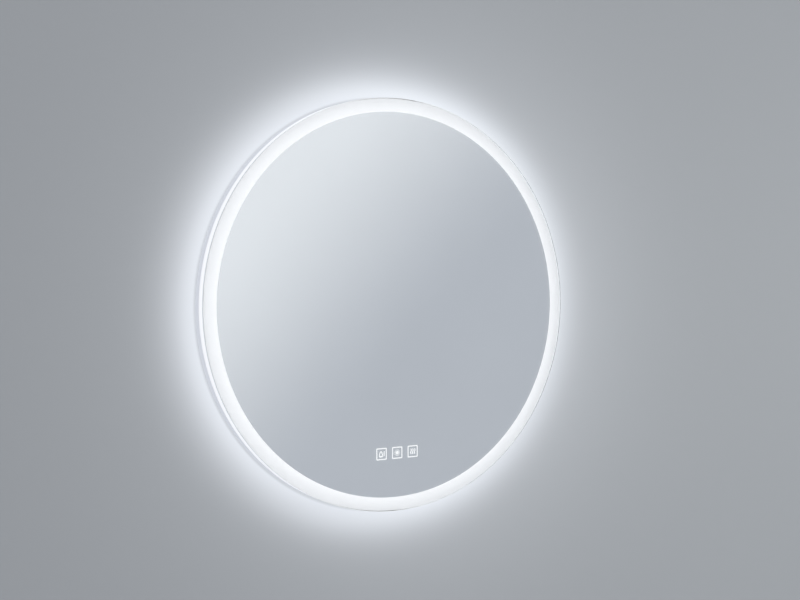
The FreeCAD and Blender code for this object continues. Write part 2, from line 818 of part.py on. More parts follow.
def hanger_rivets():
    """Blind rivets: head behind the hanger, shank, and set tail inside the pan."""
    body = new_body("hanger_rivets")
    seat = recess_floor - size.hook_sheet
    tail = recess_floor + size.pan_sheet
    sketch = outline(body, "front", seat - size.rivet_head_height)
    circles(sketch, rivet_places(), size.rivet_head_radius)
    pad(body, sketch, size.rivet_head_height)
    sketch = outline(body, "front", seat)
    circles(sketch, rivet_places(), size.rivet_radius)
    pad(body, sketch, tail - seat)
    sketch = outline(body, "front", tail)
    circles(sketch, rivet_places(), (size.rivet_radius + size.rivet_head_radius) / 2)
    pad(body, sketch, size.rivet_head_height)


def wall_rail():
    """The rail on the wall: a slotted plate, a step towards the room, and a lip that points up."""
    sheet_mm = size.hook_sheet
    lip = size.hanger_lip_level + sheet_mm + size.hook_play
    step_top = hook_z - size.hook_reach - size.hook_clear
    top = hook_z - size.hook_seat
    foot = fixing_height - size.rail_plate_below
    body = new_body("wall_rail")
    sketch = outline(body, "side")
    corners = [
        (0, foot),
        (sheet_mm, foot),
        (sheet_mm, step_top - sheet_mm),
        (lip + sheet_mm, step_top - sheet_mm),
        (lip + sheet_mm, top),
        (lip, top),
        (lip, step_top),
        (0, step_top),
    ]
    polygon(sketch, corners)
    pad(body, sketch, hanger_length - size.rail_room * 2, symmetric=True)
    sketch = outline(body, "front", sheet_mm)
    for side in (-1, 1):
        x = side * size.rail_slot_pitch / 2
        slot(sketch, x, fixing_height, size.rail_slot_length, size.rail_slot_width)
    pocket(body, sketch, sheet_mm)


def bumpers():
    """Push-in rubber bumpers: a pad against the wall, a stem through the pan and a barb."""
    body = new_body("bumpers")
    stem_end = plateau_inside + size.fit_gap
    sketch = outline(body, "front")
    circles(sketch, bumper_places(), size.bumper_radius)
    pad(body, sketch, size.plateau_level)
    sketch = outline(body, "front", size.plateau_level)
    circles(sketch, bumper_places(), size.bumper_stem)
    pad(body, sketch, size.pan_sheet + size.fit_gap)
    sketch = outline(body, "front", stem_end)
    circles(sketch, bumper_places(), size.bumper_barb)
    feature = pad(body, sketch, size.bumper_barb)
    tie(feature, "TaperAngle", -size.bumper_taper)


# ---------------------------------------------------------------- touch keys


def key_places():
    """The three keys, from left to right."""
    return [(size.key_pitch * i, key_z) for i in (-1, 0, 1)]


def touch_light_frame():
    """The black foam block that keeps the light of each key to its own window."""
    width = size.key_pitch * 2 + size.key_window + size.key_wall * 2
    height = size.key_window + size.key_wall * 2
    body = new_body("touch_light_frame")
    sketch = outline(body, "front", key_board_level)
    rectangle(sketch, 0, key_z, width, height)
    pad(body, sketch, size.key_foam)
    sketch = outline(body, "front", film_level)
    for x, z in key_places():
        rectangle(sketch, x, z, size.key_window, size.key_window)
    pocket(body, sketch, size.key_foam)


def touch_board():
    """The circuit board behind the foam, with its plug housing on the back."""
    width = size.key_pitch * 2 + size.key_window + size.key_wall * 2
    height = size.key_window + size.key_wall * 2
    margin = size.board_margin * 2
    rear = key_board_level - size.board_sheet
    body = new_body("touch_board")
    sketch = outline(body, "front", rear)
    rounded(sketch, 0, key_z, width + margin, height + margin, size.board_margin)
    pad(body, sketch, size.board_sheet)
    body = new_body("touch_plug")
    sketch = outline(body, "front", rear - size.plug_depth)
    rectangle(sketch, 0, key_z, size.plug_width, size.plug_height)
    pad(body, sketch, size.plug_depth)


def touch_leds():
    """One diode per key, in the middle of its window."""
    body = new_body("touch_leds")
    sketch = outline(body, "front", key_board_level)
    for x, z in key_places():
        rectangle(sketch, x, z, size.key_led, size.key_led)
    pad(body, sketch, size.led_height)


# ---------------------------------------------------------------- supply


def cable_grommet():
    """The rubber grommet of the mains inlet: two flanges and a groove for the pan."""
    place = [(size.box_x, inlet_z)]
    body = new_body("cable_grommet")
    low = size.plateau_level - size.inlet_lip
    levels = (
        (low, size.inlet_flange, size.inlet_lip),
        (size.plateau_level, size.inlet_groove, size.pan_sheet),
        (plateau_inside, size.inlet_flange, size.inlet_lip),
    )
    for level, radius, length in levels:
        sketch = outline(body, "front", level)
        circles(sketch, place, radius)
        pad(body, sketch, length)
    sketch = outline(body, "front", plateau_inside + size.inlet_lip)
    circles(sketch, place, size.inlet_bore)
    pocket(body, sketch, size.inlet_lip * 2 + size.pan_sheet)


def ears(body, x, z, length, width, reach, places):
    """A fixing plate that runs through under a case, with a screw hole at both ends."""
    sketch = outline(body, "front", plateau_inside)
    rounded(sketch, x, z, length + reach * 2, width, size.box_corner)
    pad(body, sketch, size.ear_sheet)
    sketch = outline(body, "front", plateau_inside + size.ear_sheet)
    circles(sketch, places, size.screw_radius + size.screw_clear)
    pocket(body, sketch, size.ear_sheet)


def clamp_places():
    """The two screws of the cord clamp, just inside the cable notch."""
    z = size.box_z + size.box_height / 2 - size.clamp_drop
    return [(size.box_x + side * size.clamp_pitch / 2, z) for side in (-1, 1)]


def block_places():
    """The three poles of the terminal block."""
    z = size.box_z - size.block_shift
    return [(size.box_x + size.block_pitch * i, z) for i in (-1, 0, 1)]


def terminal_box():
    """The moulded base: walls, cable notch, lead notches, clamp posts and ears."""
    x, z, wall = size.box_x, size.box_z, size.box_wall
    low, high = plateau_inside, plateau_inside + size.box_depth
    body = new_body("terminal_box")
    sketch = outline(body, "front", low)
    rounded(sketch, x, z, size.box_width, size.box_height, size.box_corner)
    pad(body, sketch, size.box_depth)
    sketch = outline(body, "front", high)
    inner = (size.box_width - wall * 2, size.box_height - wall * 2)
    rounded(sketch, x, z, *inner, size.box_corner - wall)
    pocket(body, sketch, size.box_depth - size.ear_sheet)
    sketch = outline(body, "front", high)
    rectangle(sketch, x, z + (size.box_height - wall) / 2, size.notch_width, wall * 2)
    pocket(body, sketch, size.notch_depth)
    sketch = outline(body, "front", high)
    for side in (-1, 1):
        rectangle(sketch, x + side * (size.box_width - wall) / 2, z, wall * 2, size.lead_notch)
    pocket(body, sketch, size.box_depth / 2)
    sketch = outline(body, "front", low + size.ear_sheet)
    circles(sketch, clamp_places(), size.clamp_post)
    pad(body, sketch, size.clamp_room)
    ears(body, x, z, size.box_width, size.box_ear_width, size.box_ear, box_ear_places())
    sketch = outline(body, "front", low + size.ear_sheet + size.clamp_room)
    circles(sketch, clamp_places(), size.screw_radius + size.thread_clear)
    pocket(body, sketch, size.clamp_room)


def terminal_cover():
    """The snap-on lid, with a rim that sits inside the walls."""
    x, z = size.box_x, size.box_z
    level = plateau_inside + size.box_depth
    body = new_body("terminal_cover")
    sketch = outline(body, "front", level)
    rounded(sketch, x, z, size.box_width, size.box_height, size.box_corner)
    pad(body, sketch, size.box_wall)
    inset = (size.box_wall + size.fit_gap) * 2
    width, height = size.box_width - inset, size.box_height - inset
    sketch = outline(body, "front", level)
    rounded(sketch, x, z, width, height, size.box_corner - size.box_wall - size.fit_gap)
    rectangle(sketch, x, z, width - size.box_wall * 2, height - size.box_wall * 2)
    pad(body, sketch, size.cover_lip, back=True)


def terminal_block():
    """Three poles in one moulding: wire bores right through and a screw well over each."""
    x, z = size.box_x, size.box_z - size.block_shift
    low = plateau_inside + size.ear_sheet
    body = new_body("terminal_block")
    sketch = outline(body, "front", low)
    rectangle(sketch, x, z, size.block_width, size.block_height)
    pad(body, sketch, size.block_depth)
    sketch = outline(body, "section", z + size.block_height / 2)
    bore_level = low + size.block_depth / 3
    circles(sketch, [(px, bore_level) for px, _ in block_places()], size.block_bore)
    pocket(body, sketch, size.block_height, back=True)
    sketch = outline(body, "front", low + size.block_depth)
    circles(sketch, block_places(), size.block_well)
    pocket(body, sketch, size.block_depth / 2)


def terminal_screws():
    """The clamping screws down in the wells of the terminal block."""
    low = plateau_inside + size.ear_sheet + size.block_depth / 2
    body = new_body("terminal_screws")
    sketch = outline(body, "front", low)
    circles(sketch, block_places(), size.block_well - size.screw_clear)
    pad(body, sketch, size.block_depth / 3)


def cord_clamp():
    """The bar that presses the mains cable down, and its two screws."""
    level = plateau_inside + size.ear_sheet + size.clamp_room
    z = clamp_places()[0][1]
    body = new_body("cord_clamp")
    sketch = outline(body, "front", level)
    width = size.clamp_pitch + size.clamp_height
    rounded(sketch, size.box_x, z, width, size.clamp_height, size.clamp_height / 3)
    pad(body, sketch, size.clamp_bar)
    sketch = outline(body, "front", level + size.clamp_bar)
    circles(sketch, clamp_places(), size.screw_radius + size.screw_clear)
    pocket(body, sketch, size.clamp_bar)
    length = size.clamp_bar + size.clamp_room / 2
    screws("clamp_screws", clamp_places(), level + size.clamp_bar, length, towards_room=False)


def driver_case():
    """The potted light driver: a closed case on two ears, with a lid set into its rim."""
    x, z = size.driver_x, size.driver_z
    top = plateau_inside + size.driver_depth
    body = new_body("driver_case")
    sketch = outline(body, "front", plateau_inside)
    rounded(sketch, x, z, size.driver_length, size.driver_height, size.driver_corner)
    pad(body, sketch, size.driver_depth)
    inset = size.driver_lid_inset * 2
    width, height = size.driver_length - inset, size.driver_height - inset
    corner = size.driver_corner - size.driver_lid_inset
    sketch = outline(body, "front", top)
    rounded(sketch, x, z, width, height, corner)
    pocket(body, sketch, size.driver_lid / 2)
    ears(body, x, z, size.driver_length, size.box_ear_width, size.driver_ear, driver_ear_places())
    lid = new_body("driver_lid")
    sketch = outline(lid, "front", top - size.driver_lid / 2)
    play = size.fit_gap * 2
    rounded(sketch, x, z, width - play, height - play, corner)
    pad(lid, sketch, size.driver_lid)


def case_screws():
    """The screws of the terminal box and of the driver, from inside into the pan."""
    seat = plateau_inside + size.ear_sheet
    length = size.ear_sheet + size.pan_sheet
    screws("box_screws", box_ear_places(), seat, length, towards_room=False)
    screws("driver_screws", driver_ear_places(), seat, length, towards_room=False)


def earth_terminal():
    """The earth stud pressed into the pan, the ring tag of its lead and the nut on top."""
    place = [(size.earth_x, size.earth_z)]
    body = new_body("earth_stud")
    sketch = outline(body, "front", size.plateau_level)
    circles(sketch, place, size.stud_radius)
    pad(body, sketch, size.pan_sheet + size.stud_length)
    body = new_body("earth_tag")
    sketch = outline(body, "front", plateau_inside)
    circles(sketch, place, size.tag_radius)
    pad(body, sketch, size.tag_sheet)
    sketch = outline(body, "front", plateau_inside + size.tag_sheet)
    circles(sketch, place, size.stud_radius + size.screw_clear)
    pocket(body, sketch, size.tag_sheet)
    level = plateau_inside + size.tag_sheet
    body = new_body("earth_nut")
    sketch = outline(body, "front", level)
    hexagons(sketch, place, size.nut_radius)
    pad(body, sketch, size.nut_height)
    sketch = outline(body, "front", level + size.nut_height)
    circles(sketch, place, size.stud_radius + size.thread_clear)
    pocket(body, sketch, size.nut_height)


# ---------------------------------------------------------------- inner leads and their clips


def tube(label, points):
    """A lead along straight runs joined by tangent arcs; points are (x, z, level).

    Its section is six-sided, just inside the round of the real lead.
    """
    spots = [Vector(float(x), -float(level), float(z)) for x, z, level in points]
    edges = []
    start = spots[0]
    for before, corner, after in zip(spots, spots[1:], spots[2:]):
        come = (corner - before).normalize()
        leave = (after - corner).normalize()
        turn = come.getAngle(leave)
        cut = 0.45 * min((corner - before).Length, (after - corner).Length)
        bend = cut / math.tan(turn / 2)
        print(f"{label}: bend {bend:.1f}")
        first, last = corner - come * cut, corner + leave * cut
        middle = corner + (leave - come).normalize() * (bend / math.cos(turn / 2) - bend)
        edges.append(Part.LineSegment(start, first).toShape())
        edges.append(Part.Arc(first, middle, last).toShape())
        start = last
    edges.append(Part.LineSegment(start, spots[-1]).toShape())
    path = Part.Wire(edges)
    along = (spots[1] - spots[0]).normalize()
    side = along.cross(Vector(0, 0, 1) if abs(along.z) < 0.9 else Vector(1, 0, 0)).normalize()
    rise = along.cross(side)
    turns = [math.radians(60 * i) for i in range(7)]
    radius = size.lead_radius.value
    section = Part.makePolygon(
        [spots[0] + side * (radius * math.cos(a)) + rise * (radius * math.sin(a)) for a in turns]
    )
    lead = doc.addObject("Part::Feature", label)
    lead.Label = label
    lead.Shape = path.makePipeShell([section], True, False)
    expected = Part.Face(section).Area * path.Length
    if abs(lead.Shape.Volume / expected - 1) > 0.01:
        raise RuntimeError(f"{label} has lost volume along its path")
    tie(lead, "Placement.Base.z", -fixing_height)
    parts.append(lead)


def clip_spots():
    """The glued clips: (x, z, direction of the lead in degrees), each midway along a run."""
    return [spot for route in (front_route(), rear_route()) for spot in midway(route)]


def midway(route):
    """The middles of the long runs of a route that lie flat on the pan."""
    spots = []
    for (x, z, level), (far_x, far_z, far_level) in zip(route, route[1:]):
        x, z, far_x, far_z = (float(value) for value in (x, z, far_x, far_z))
        if float(level) == float(far_level) and math.hypot(far_x - x, far_z - z) > size.clip_run.value:
            turn = math.degrees(math.atan2(far_z - z, far_x - x))
            spots.append(((x + far_x) / 2, (z + far_z) / 2, turn))
    return spots


def lead_end():
    """Where a lead that has passed the strip wall meets the back of its strip."""
    return -math.sqrt(strip_radius.value**2 - (size.lead_x + size.lead_radius).value ** 2)


def front_route():
    """From the driver's right end, round the lower right of the pan, to the front strip."""
    end = size.driver_x + size.driver_length / 2
    exit_level = plateau_inside + size.driver_depth / 2
    x, z, level = -size.lead_x, size.driver_z, front_strip_level
    foot = lead_end()
    return [
        (end, z - 8, exit_level),
        (end + 12, z - 8, exit_level),
        (end + 22, z - 26, run_level),
        (end + 6, z - 78, run_level),
        (end - 38, z - 124, run_level),
        (end - 92, foot + 45.6, run_level),
        (x + 30, foot + 29.6, run_level + 4),
        (x + 6, foot + 20.6, level - 4),
        (x, foot + 11.6, level),
        (x, foot, level),
    ]


def rear_route():
    """From the driver's right end, outside the front lead, to the rear strip."""
    end = size.driver_x + size.driver_length / 2
    exit_level = plateau_inside + size.driver_depth / 2
    x, z, level = size.lead_x, size.driver_z, rear_lead_level
    foot = lead_end()
    return [
        (end, z + 8, exit_level),
        (end + 20, z + 8, exit_level),
        (end + 38, z - 24, run_level),
        (end + 24, z - 84, run_level),
        (end - 16, z - 136, run_level),
        (x + 28, foot + 34.6, run_level + 1),
        (x + 6, foot + 19.6, level),
        (x, foot + 10.6, level),
        (x, foot, level),
    ]


def leads():
    """All leads that stay inside the housing."""
    tube("front_lead", front_route())
    tube("rear_lead", rear_route())
    left = size.driver_x - size.driver_length / 2
    exit_level = plateau_inside + size.driver_depth / 2
    box_right = size.box_x + size.box_width / 2
    box_left = size.box_x - size.box_width / 2
    notch_level = plateau_inside + size.box_depth - size.box_depth / 4
    block_right = size.box_x + size.block_width / 2
    block_left = size.box_x - size.block_width / 2
    tube(
        "mains_lead",
        [
            (block_right, size.box_z - 3, notch_level - 4),
            (block_right + 9, size.box_z - 3, notch_level - 4),
            (box_right - 4, size.box_z, notch_level),
            (box_right + 10, size.box_z, notch_level),
            (left - 8, size.driver_z + 4, exit_level),
            (left, size.driver_z + 4, exit_level),
        ],
    )
    plug_top = key_z + size.plug_height / 2
    plug_level = key_board_level - size.board_sheet - size.plug_depth / 2
    tube(
        "touch_lead",
        [
            (left, size.driver_z - 10, exit_level),
            (left - 12, size.driver_z - 10, exit_level),
            (left - 18, size.driver_z - 38, run_level),
            (left - 8, size.driver_z - 84, run_level),
            (left + 10, plug_top + 34, (run_level + plug_level) / 2),
            (0, plug_top + 12, plug_level),
            (0, plug_top, plug_level),
        ],
    )
    tab_low = size.tab_z - size.tab_height / 2
    tab_level = film_level - size.demister_thickness - size.tab_thickness / 2
    tube(
        "demister_lead",
        [
            (left, size.driver_z + 14, exit_level + 2),
            (left - 9, size.driver_z + 14, exit_level + 2),
            (size.tab_x - 4, size.driver_z + 34, exit_level + 6),
            (size.tab_x, tab_low - 18, tab_level),
            (size.tab_x, tab_low, tab_level),
        ],
    )
    tag_level = plateau_inside + size.tag_sheet + size.lead_radius + size.nut_height / 2
    tube(
        "earth_lead",
        [
            (block_left, size.box_z - 3, notch_level - 4),
            (block_left - 9, size.box_z - 3, notch_level - 4),
            (box_left + 4, size.box_z, notch_level),
            (box_left - 8, size.box_z + 1, notch_level),
            (box_left - 18, size.box_z + 16, tag_level + 2),
            (size.earth_x, size.earth_z - 20, tag_level),
            (size.earth_x, size.earth_z - size.tag_radius, tag_level),
        ],
    )


def lead_clips():
    """Glued saddles with a bore for the lead, one midway along each flat run."""
    bore = size.lead_radius.value + size.clip_play.value
    low = plateau_inside.value
    height = run_level.value - low + size.lead_radius.value + size.clip_cap.value
    length, width = size.clip_length.value, size.clip_width.value
    saddles = []
    for x, z, turn in clip_spots():
        block = Part.makeBox(length, height, width, Vector(-length / 2, -low - height, -width / 2))
        hole = Part.makeCylinder(bore, length * 2, Vector(-length, -run_level.value, 0), Vector(1, 0, 0))
        saddle = block.cut(hole)
        saddle.rotate(Vector(0, 0, 0), Vector(0, 1, 0), -turn)
        saddle.translate(Vector(x, 0, z))
        saddles.append(saddle)
    clips = doc.addObject("Part::Feature", "lead_clips")
    clips.Label = "lead_clips"
    clips.Shape = Part.makeCompound(saddles)
    tie(clips, "Placement.Base.z", -fixing_height)
    parts.append(clips)


# ---------------------------------------------------------------- build, check and write


def check_parts():
    """Stop if any object failed, any cut removed nothing, or any piece isn't a sound solid."""
    for item in doc.Objects:
        if "Invalid" in item.State or "Error" in item.State:
            raise RuntimeError(f"{item.Label} failed: {item.State}")
    for feature in cuts:
        if feature.Shape.Volume > feature.BaseFeature.Shape.Volume - 1e-6:
            raise RuntimeError(f"a cut of {feature.getParentGeoFeatureGroup().Label} removed nothing")
    for part in parts:
        shape = part.Shape
        if shape.isNull() or not shape.isValid() or not shape.Solids:
            raise RuntimeError(f"{part.Label} is not a valid solid")


def write_parts():
    """Write each piece to its own file and print what it holds."""
    os.makedirs("parts", exist_ok=True)
    for part in parts:
        part.Shape.exportStep(f"parts/{part.Label}.step")
        print(f"{part.Label}: {len(part.Shape.Solids)} solids, {part.Shape.Volume:.0f} mm3")


mirror_glass()
silver_coating()
bonding_tape()
demister_pad()
opal_diffuser_ring()
chassis_ring()
ring_splice()
splice_screws()
rear_window_ring()
light_strip("front", front_strip_level, size.front_strip_width)
light_strip("rear", rear_strip_level, size.rear_strip_width)
back_pan()
pan_screws()
hanger_bracket()
hanger_rivets()
wall_rail()
bumpers()
touch_light_frame()
touch_board()
touch_leds()
cable_grommet()
terminal_box()
terminal_cover()
terminal_block()
terminal_screws()
cord_clamp()
driver_case()
case_screws()
earth_terminal()
leads()
lead_clips()
doc.recompute()
check_parts()
write_parts()
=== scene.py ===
# %% [markdown]
# # A round lighted bathroom mirror
#
# The mirror is a disc of float glass, silvered up to a frosted band, on a rolled aluminium ring that
# holds the light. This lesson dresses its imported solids: each piece gets the surface that the real one
# has, and the pieces whose outline shows are drawn again as smooth surfaces worked out with numpy.
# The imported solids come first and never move. Everything is in metres, in their frame: the wall is the
# plane y = 0, the room is on the side of -y, and z is up.

import math

import bmesh
import bpy
import numpy as np
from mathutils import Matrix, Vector
from mathutils.geometry import delaunay_2d_cdt


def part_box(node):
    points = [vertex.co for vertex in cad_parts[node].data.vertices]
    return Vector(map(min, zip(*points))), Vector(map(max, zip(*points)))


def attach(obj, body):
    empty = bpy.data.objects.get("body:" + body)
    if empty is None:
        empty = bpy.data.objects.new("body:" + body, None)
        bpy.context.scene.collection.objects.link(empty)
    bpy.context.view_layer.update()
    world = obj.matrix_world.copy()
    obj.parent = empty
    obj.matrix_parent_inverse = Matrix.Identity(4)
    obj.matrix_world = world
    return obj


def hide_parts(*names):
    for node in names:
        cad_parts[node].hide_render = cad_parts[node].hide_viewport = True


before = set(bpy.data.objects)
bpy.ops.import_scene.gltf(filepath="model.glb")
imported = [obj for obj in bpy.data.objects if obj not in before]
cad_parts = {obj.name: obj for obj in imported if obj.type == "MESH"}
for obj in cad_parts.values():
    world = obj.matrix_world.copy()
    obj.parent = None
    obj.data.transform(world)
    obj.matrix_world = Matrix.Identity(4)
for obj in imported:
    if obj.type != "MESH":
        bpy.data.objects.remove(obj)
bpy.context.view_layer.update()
scene = bpy.context.scene
print("packed pieces:", len(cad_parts))

# %% [markdown]
# ## Sizes
#
# A drawing of a turned object needs its axis, its radii and its levels. They are read from the packed
# solids, so a new size of the mirror comes through by itself. A "level" is a distance from the wall
# towards the room, as a fitter would measure it.

# %% Radii and levels
MM = 0.001


def span(node):
    """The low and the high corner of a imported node, rounded to a hundredth of a millimetre."""
    return [np.round(np.array(corner), 5).tolist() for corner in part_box(node)]


def levels(node):
    """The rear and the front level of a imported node."""
    low, high = span(node)
    return -high[1], -low[1]


glass_low, glass_high = span("mirror_glass")
RIM = round(glass_high[0], 3)
AXIS_Z = round((glass_high[2] + glass_low[2]) / 2, 3)
SILVER_RADIUS = round(span("silver_coating")[1][0], 3)
GLASS_BACK, FRONT = levels("mirror_glass")
OPAL_LOW, OPAL_FRONT = levels("opal_diffuser_ring")
SHELL_LOW = levels("chassis_ring")[0]
ARRIS = 0.8 * MM
print(f"glass {2 * RIM:.3f} m across, front {FRONT * 1000:.1f} mm from the wall")

# %% [markdown]
# ## Colours and nodes
#
# Colours are picked as sRGB hex values, as a paint chart gives them, and Blender computes with linear
# light, so one function turns them. One more function adds a node with its settings and links. A
# material is then a few lines that read from the pattern to the shader. Every pattern is laid out in
# the piece's own coordinates. The scale of a noise is the number of its waves in a metre, so at 500
# they are 2 mm long.


# %% Colour and node helpers
def linear(hexcode):
    """The linear RGBA of an sRGB hex colour: below 0.04045 a straight line, above it a power of 2.4."""
    code = hexcode.lstrip("#")
    channels = np.array([int(code[i : i + 2], 16) for i in (0, 2, 4)]) / 255
    light = np.where(channels <= 0.04045, channels / 12.92, ((channels + 0.055) / 1.055) ** 2.4)
    return (*light.tolist(), 1.0)


def add(tree, kind, inputs=None, stops=(), **settings):
    """Add a shader node.

    The settings are its properties. The inputs are values for its sockets, or what to link to them: a
    socket, or a node, which stands for its first output. The stops of a ramp are (place, hex colour).
    """
    made = tree.nodes.new("ShaderNode" + kind)
    for name, value in settings.items():
        setattr(made, name, value)
    if stops:
        for stop, (place, colour) in zip(made.color_ramp.elements, stops):
            stop.position, stop.color = place, linear(colour)
    for name, value in (inputs or {}).items():
        if isinstance(value, bpy.types.Node):
            value = value.outputs[0]
        if isinstance(value, bpy.types.NodeSocket):
            tree.links.new(value, made.inputs[name])
        else:
            made.inputs[name].default_value = value
    return made


def material(name, build):
    """A material whose surface build(tree, place) makes; place is the point in the piece's own frame."""
    made = bpy.data.materials.new(name)
    made.use_nodes = True
    made.node_tree.nodes.clear()
    place = add(made.node_tree, "TexCoord").outputs["Object"]
    add(made.node_tree, "OutputMaterial", {"Surface": build(made.node_tree, place)})
    return made


# %% [markdown]
# ## Turned and pressed surfaces
#
# Three ways of making a surface cover nearly every piece here. A lathe profile is carried round the
# axis. A stroke is carried along a path. A sheet is cut flat, with its holes, and then pressed: a
# function gives the height of each of its points. All of them work on whole arrays.


# %% Meshes from arrays
def mesh_object(name, points, faces, crease=35.0, weld=True):
    """An object of the given points (n, 3) and faces, welded, facing outwards and smooth below the crease."""
    mesh = bpy.data.meshes.new(name)
    mesh.from_pydata(np.asarray(points).reshape(-1, 3).tolist(), [], [list(face) for face in faces])
    if weld:
        shell = bmesh.new()
        shell.from_mesh(mesh)
        bmesh.ops.remove_doubles(shell, verts=shell.verts, dist=1e-7)
        bmesh.ops.recalc_face_normals(shell, faces=shell.faces)
        shell.to_mesh(mesh)
        shell.free()
    mesh.shade_smooth()
    mesh.set_sharp_from_angle(angle=math.radians(crease))
    made = bpy.data.objects.new(name, mesh)
    scene.collection.objects.link(made)
    return made


def grid_faces(rows, columns, wrap_rows, wrap_columns):
    """Four-cornered faces between the points of a grid, wrapped round in either direction."""
    i = np.arange(rows if wrap_rows else rows - 1)[:, None]
    j = np.arange(columns if wrap_columns else columns - 1)[None, :]
    after_i, after_j = (i + 1) % rows, (j + 1) % columns
    corners = (i * columns + j, after_i * columns + j, after_i * columns + after_j, i * columns + after_j)
    return np.stack(corners, axis=-1).reshape(-1, 4)


def soft_corners(corners, radius, steps):
    """Round the corners of a closed outline.

    Each corner becomes a parabola between a point before it and a point after it, both at the radius
    from the corner, or at 0.45 of the shorter side where the side is short.
    """
    corners = np.asarray(corners, float)
    back = np.roll(corners, 1, axis=0) - corners
    forth = np.roll(corners, -1, axis=0) - corners
    back_length = np.linalg.norm(back, axis=1)
    forth_length = np.linalg.norm(forth, axis=1)
    reach = np.minimum(np.broadcast_to(radius, len(corners)), 0.45 * np.minimum(back_length, forth_length))
    first = corners + back * (reach / back_length)[:, None]
    last = corners + forth * (reach / forth_length)[:, None]
    share = np.linspace(0, 1, steps)[None, :, None]
    curve = (1 - share) ** 2 * first[:, None] + 2 * share * (1 - share) * corners[:, None]
    return (curve + share**2 * last[:, None]).reshape(-1, 2)


RIM_STEPS = 512


def turned(name, profile, steps=RIM_STEPS, middle=(0.0, AXIS_Z), slit=0.0, crease=35.0):
    """Carry a closed profile of (radius, level) round an axis that is square to the wall.

    The point at angle a is (x + r cos a, -level, z + r sin a). With a slit, the turn starts and ends
    half of it beside the lowest point, and both ends are closed.
    """
    profile = np.asarray(profile, float)
    if slit:
        half = slit / 2 / profile[:, 0].max()
        angles = np.linspace(-math.pi / 2 + half, 1.5 * math.pi - half, steps)
    else:
        angles = np.linspace(0, 2 * math.pi, steps, endpoint=False)
    radius, level = profile[None, :, 0], profile[None, :, 1]
    x = middle[0] + radius * np.cos(angles)[:, None]
    z = middle[1] + radius * np.sin(angles)[:, None]
    points = np.stack([x, np.broadcast_to(-level, x.shape), z], axis=-1)
    faces = grid_faces(steps, len(profile), not slit, True).tolist()
    if slit:
        faces.append(range(len(profile)))
        faces.append(range((steps - 1) * len(profile), steps * len(profile)))
    return mesh_object(name, points, faces, crease)


def inside(points, loops):
    """True for points inside the first loop and outside the others: an even-odd count of crossings."""
    starts = np.concatenate(loops)
    ends = np.concatenate([np.roll(loop, -1, axis=0) for loop in loops])
    odd = np.zeros(len(points), bool)
    for part in np.array_split(np.arange(len(points)), max(1, len(points) // 4000)):
        x, y = points[part, 0, None], points[part, 1, None]
        spans = (starts[:, 1] > y) != (ends[:, 1] > y)
        rise = np.where(ends[:, 1] == starts[:, 1], 1.0, ends[:, 1] - starts[:, 1])
        cross = starts[:, 0] + (y - starts[:, 1]) * (ends[:, 0] - starts[:, 0]) / rise
        odd[part] = (spans & (x < cross)).sum(axis=1) % 2 == 1
    return odd


def sheet_metal(name, loops, filling, press, thickness):
    """Cut a sheet flat with its holes and press it: press maps flat (n, 2) points to solid (n, 3) ones.

    The first loop is the outline, the others are holes, and filling holds the points between them.
    The thickness grows from the pressed surface along +y, towards the wall.
    """
    filling = filling[inside(filling, loops)]
    flat = np.concatenate(loops + [filling])
    edges, first = [], 0
    for loop in loops:
        numbers = first + np.arange(len(loop))
        edges += np.stack([numbers, np.roll(numbers, -1)], axis=1).tolist()
        first += len(loop)
    cut = delaunay_2d_cdt([Vector(point) for point in flat.tolist()], edges, [], 0, 1e-7)
    flat = np.array([tuple(point) for point in cut[0]])
    faces = np.array(cut[2])
    faces = faces[inside(flat[faces].mean(axis=1), loops)]
    made = mesh_object(name, press(flat), faces, crease=40.0)
    wall = made.modifiers.new("thickness", "SOLIDIFY")
    wall.thickness = thickness
    wall.use_even_offset = True
    return made


# %% [markdown]
# ## Camera
#
# The photograph was taken from the left, a little above the middle of the glass. The disc shows as an
# ellipse. Its width against its height gives the angle, its place gives the aim, and the difference
# between its near and its far half gives the distance. The camera is placed with those four values.

# %% Camera
PICTURE_WIDTH = 800
FOCAL_PIXELS = 1131.7
SENSOR_WIDTH = 36.0
CAMERA_TURN, CAMERA_RISE = math.radians(30.807), math.radians(1.623)
CAMERA_DISTANCE = 1.6455
AIM_TURN, AIM_FALL = math.radians(30.864), math.radians(1.360)

camera = bpy.data.objects.new("camera", bpy.data.cameras.new("camera"))
camera.data.sensor_width = SENSOR_WIDTH
camera.data.lens = SENSOR_WIDTH * FOCAL_PIXELS / PICTURE_WIDTH
towards_camera = (
    -math.sin(CAMERA_TURN) * math.cos(CAMERA_RISE),
    -math.cos(CAMERA_TURN) * math.cos(CAMERA_RISE),
    math.sin(CAMERA_RISE),
)
camera.location = Vector((0, -FRONT, AXIS_Z)) + CAMERA_DISTANCE * Vector(towards_camera)
camera.rotation_euler = (math.pi / 2 - AIM_FALL, 0, -AIM_TURN)
scene.collection.objects.link(camera)
scene.camera = camera
scene.view_settings.view_transform = "Standard"
print(f"camera {camera.data.lens:.1f} mm at", [round(v, 3) for v in camera.location])

# %% [markdown]
# ## Light
#
# A mirror shows the room, so the light has to look right twice: on the surfaces and in the glass. The
# world is a wide soft card, bright towards the upper left and greyer towards the lower right, which is
# the slow change of tone that the glass shows. The camera itself sees a plain pale backdrop instead.
# Two soft lamps fill the front, and one from the side rakes over the back, so that its pressed shapes
# show. All three are kept out of reflections.

# %% World and lamps
CARD_BRIGHT, CARD_GREY, BACKDROP = "#F3F2F9", "#BFC0CA", "#EEF0F2"
CARD_ACROSS, CARD_UP = -5.61, 4.22
CARD_MIDDLE_X, CARD_MIDDLE_Z = 0.4955, -0.0255
CARD_START, CARD_END = -0.35, 1.0

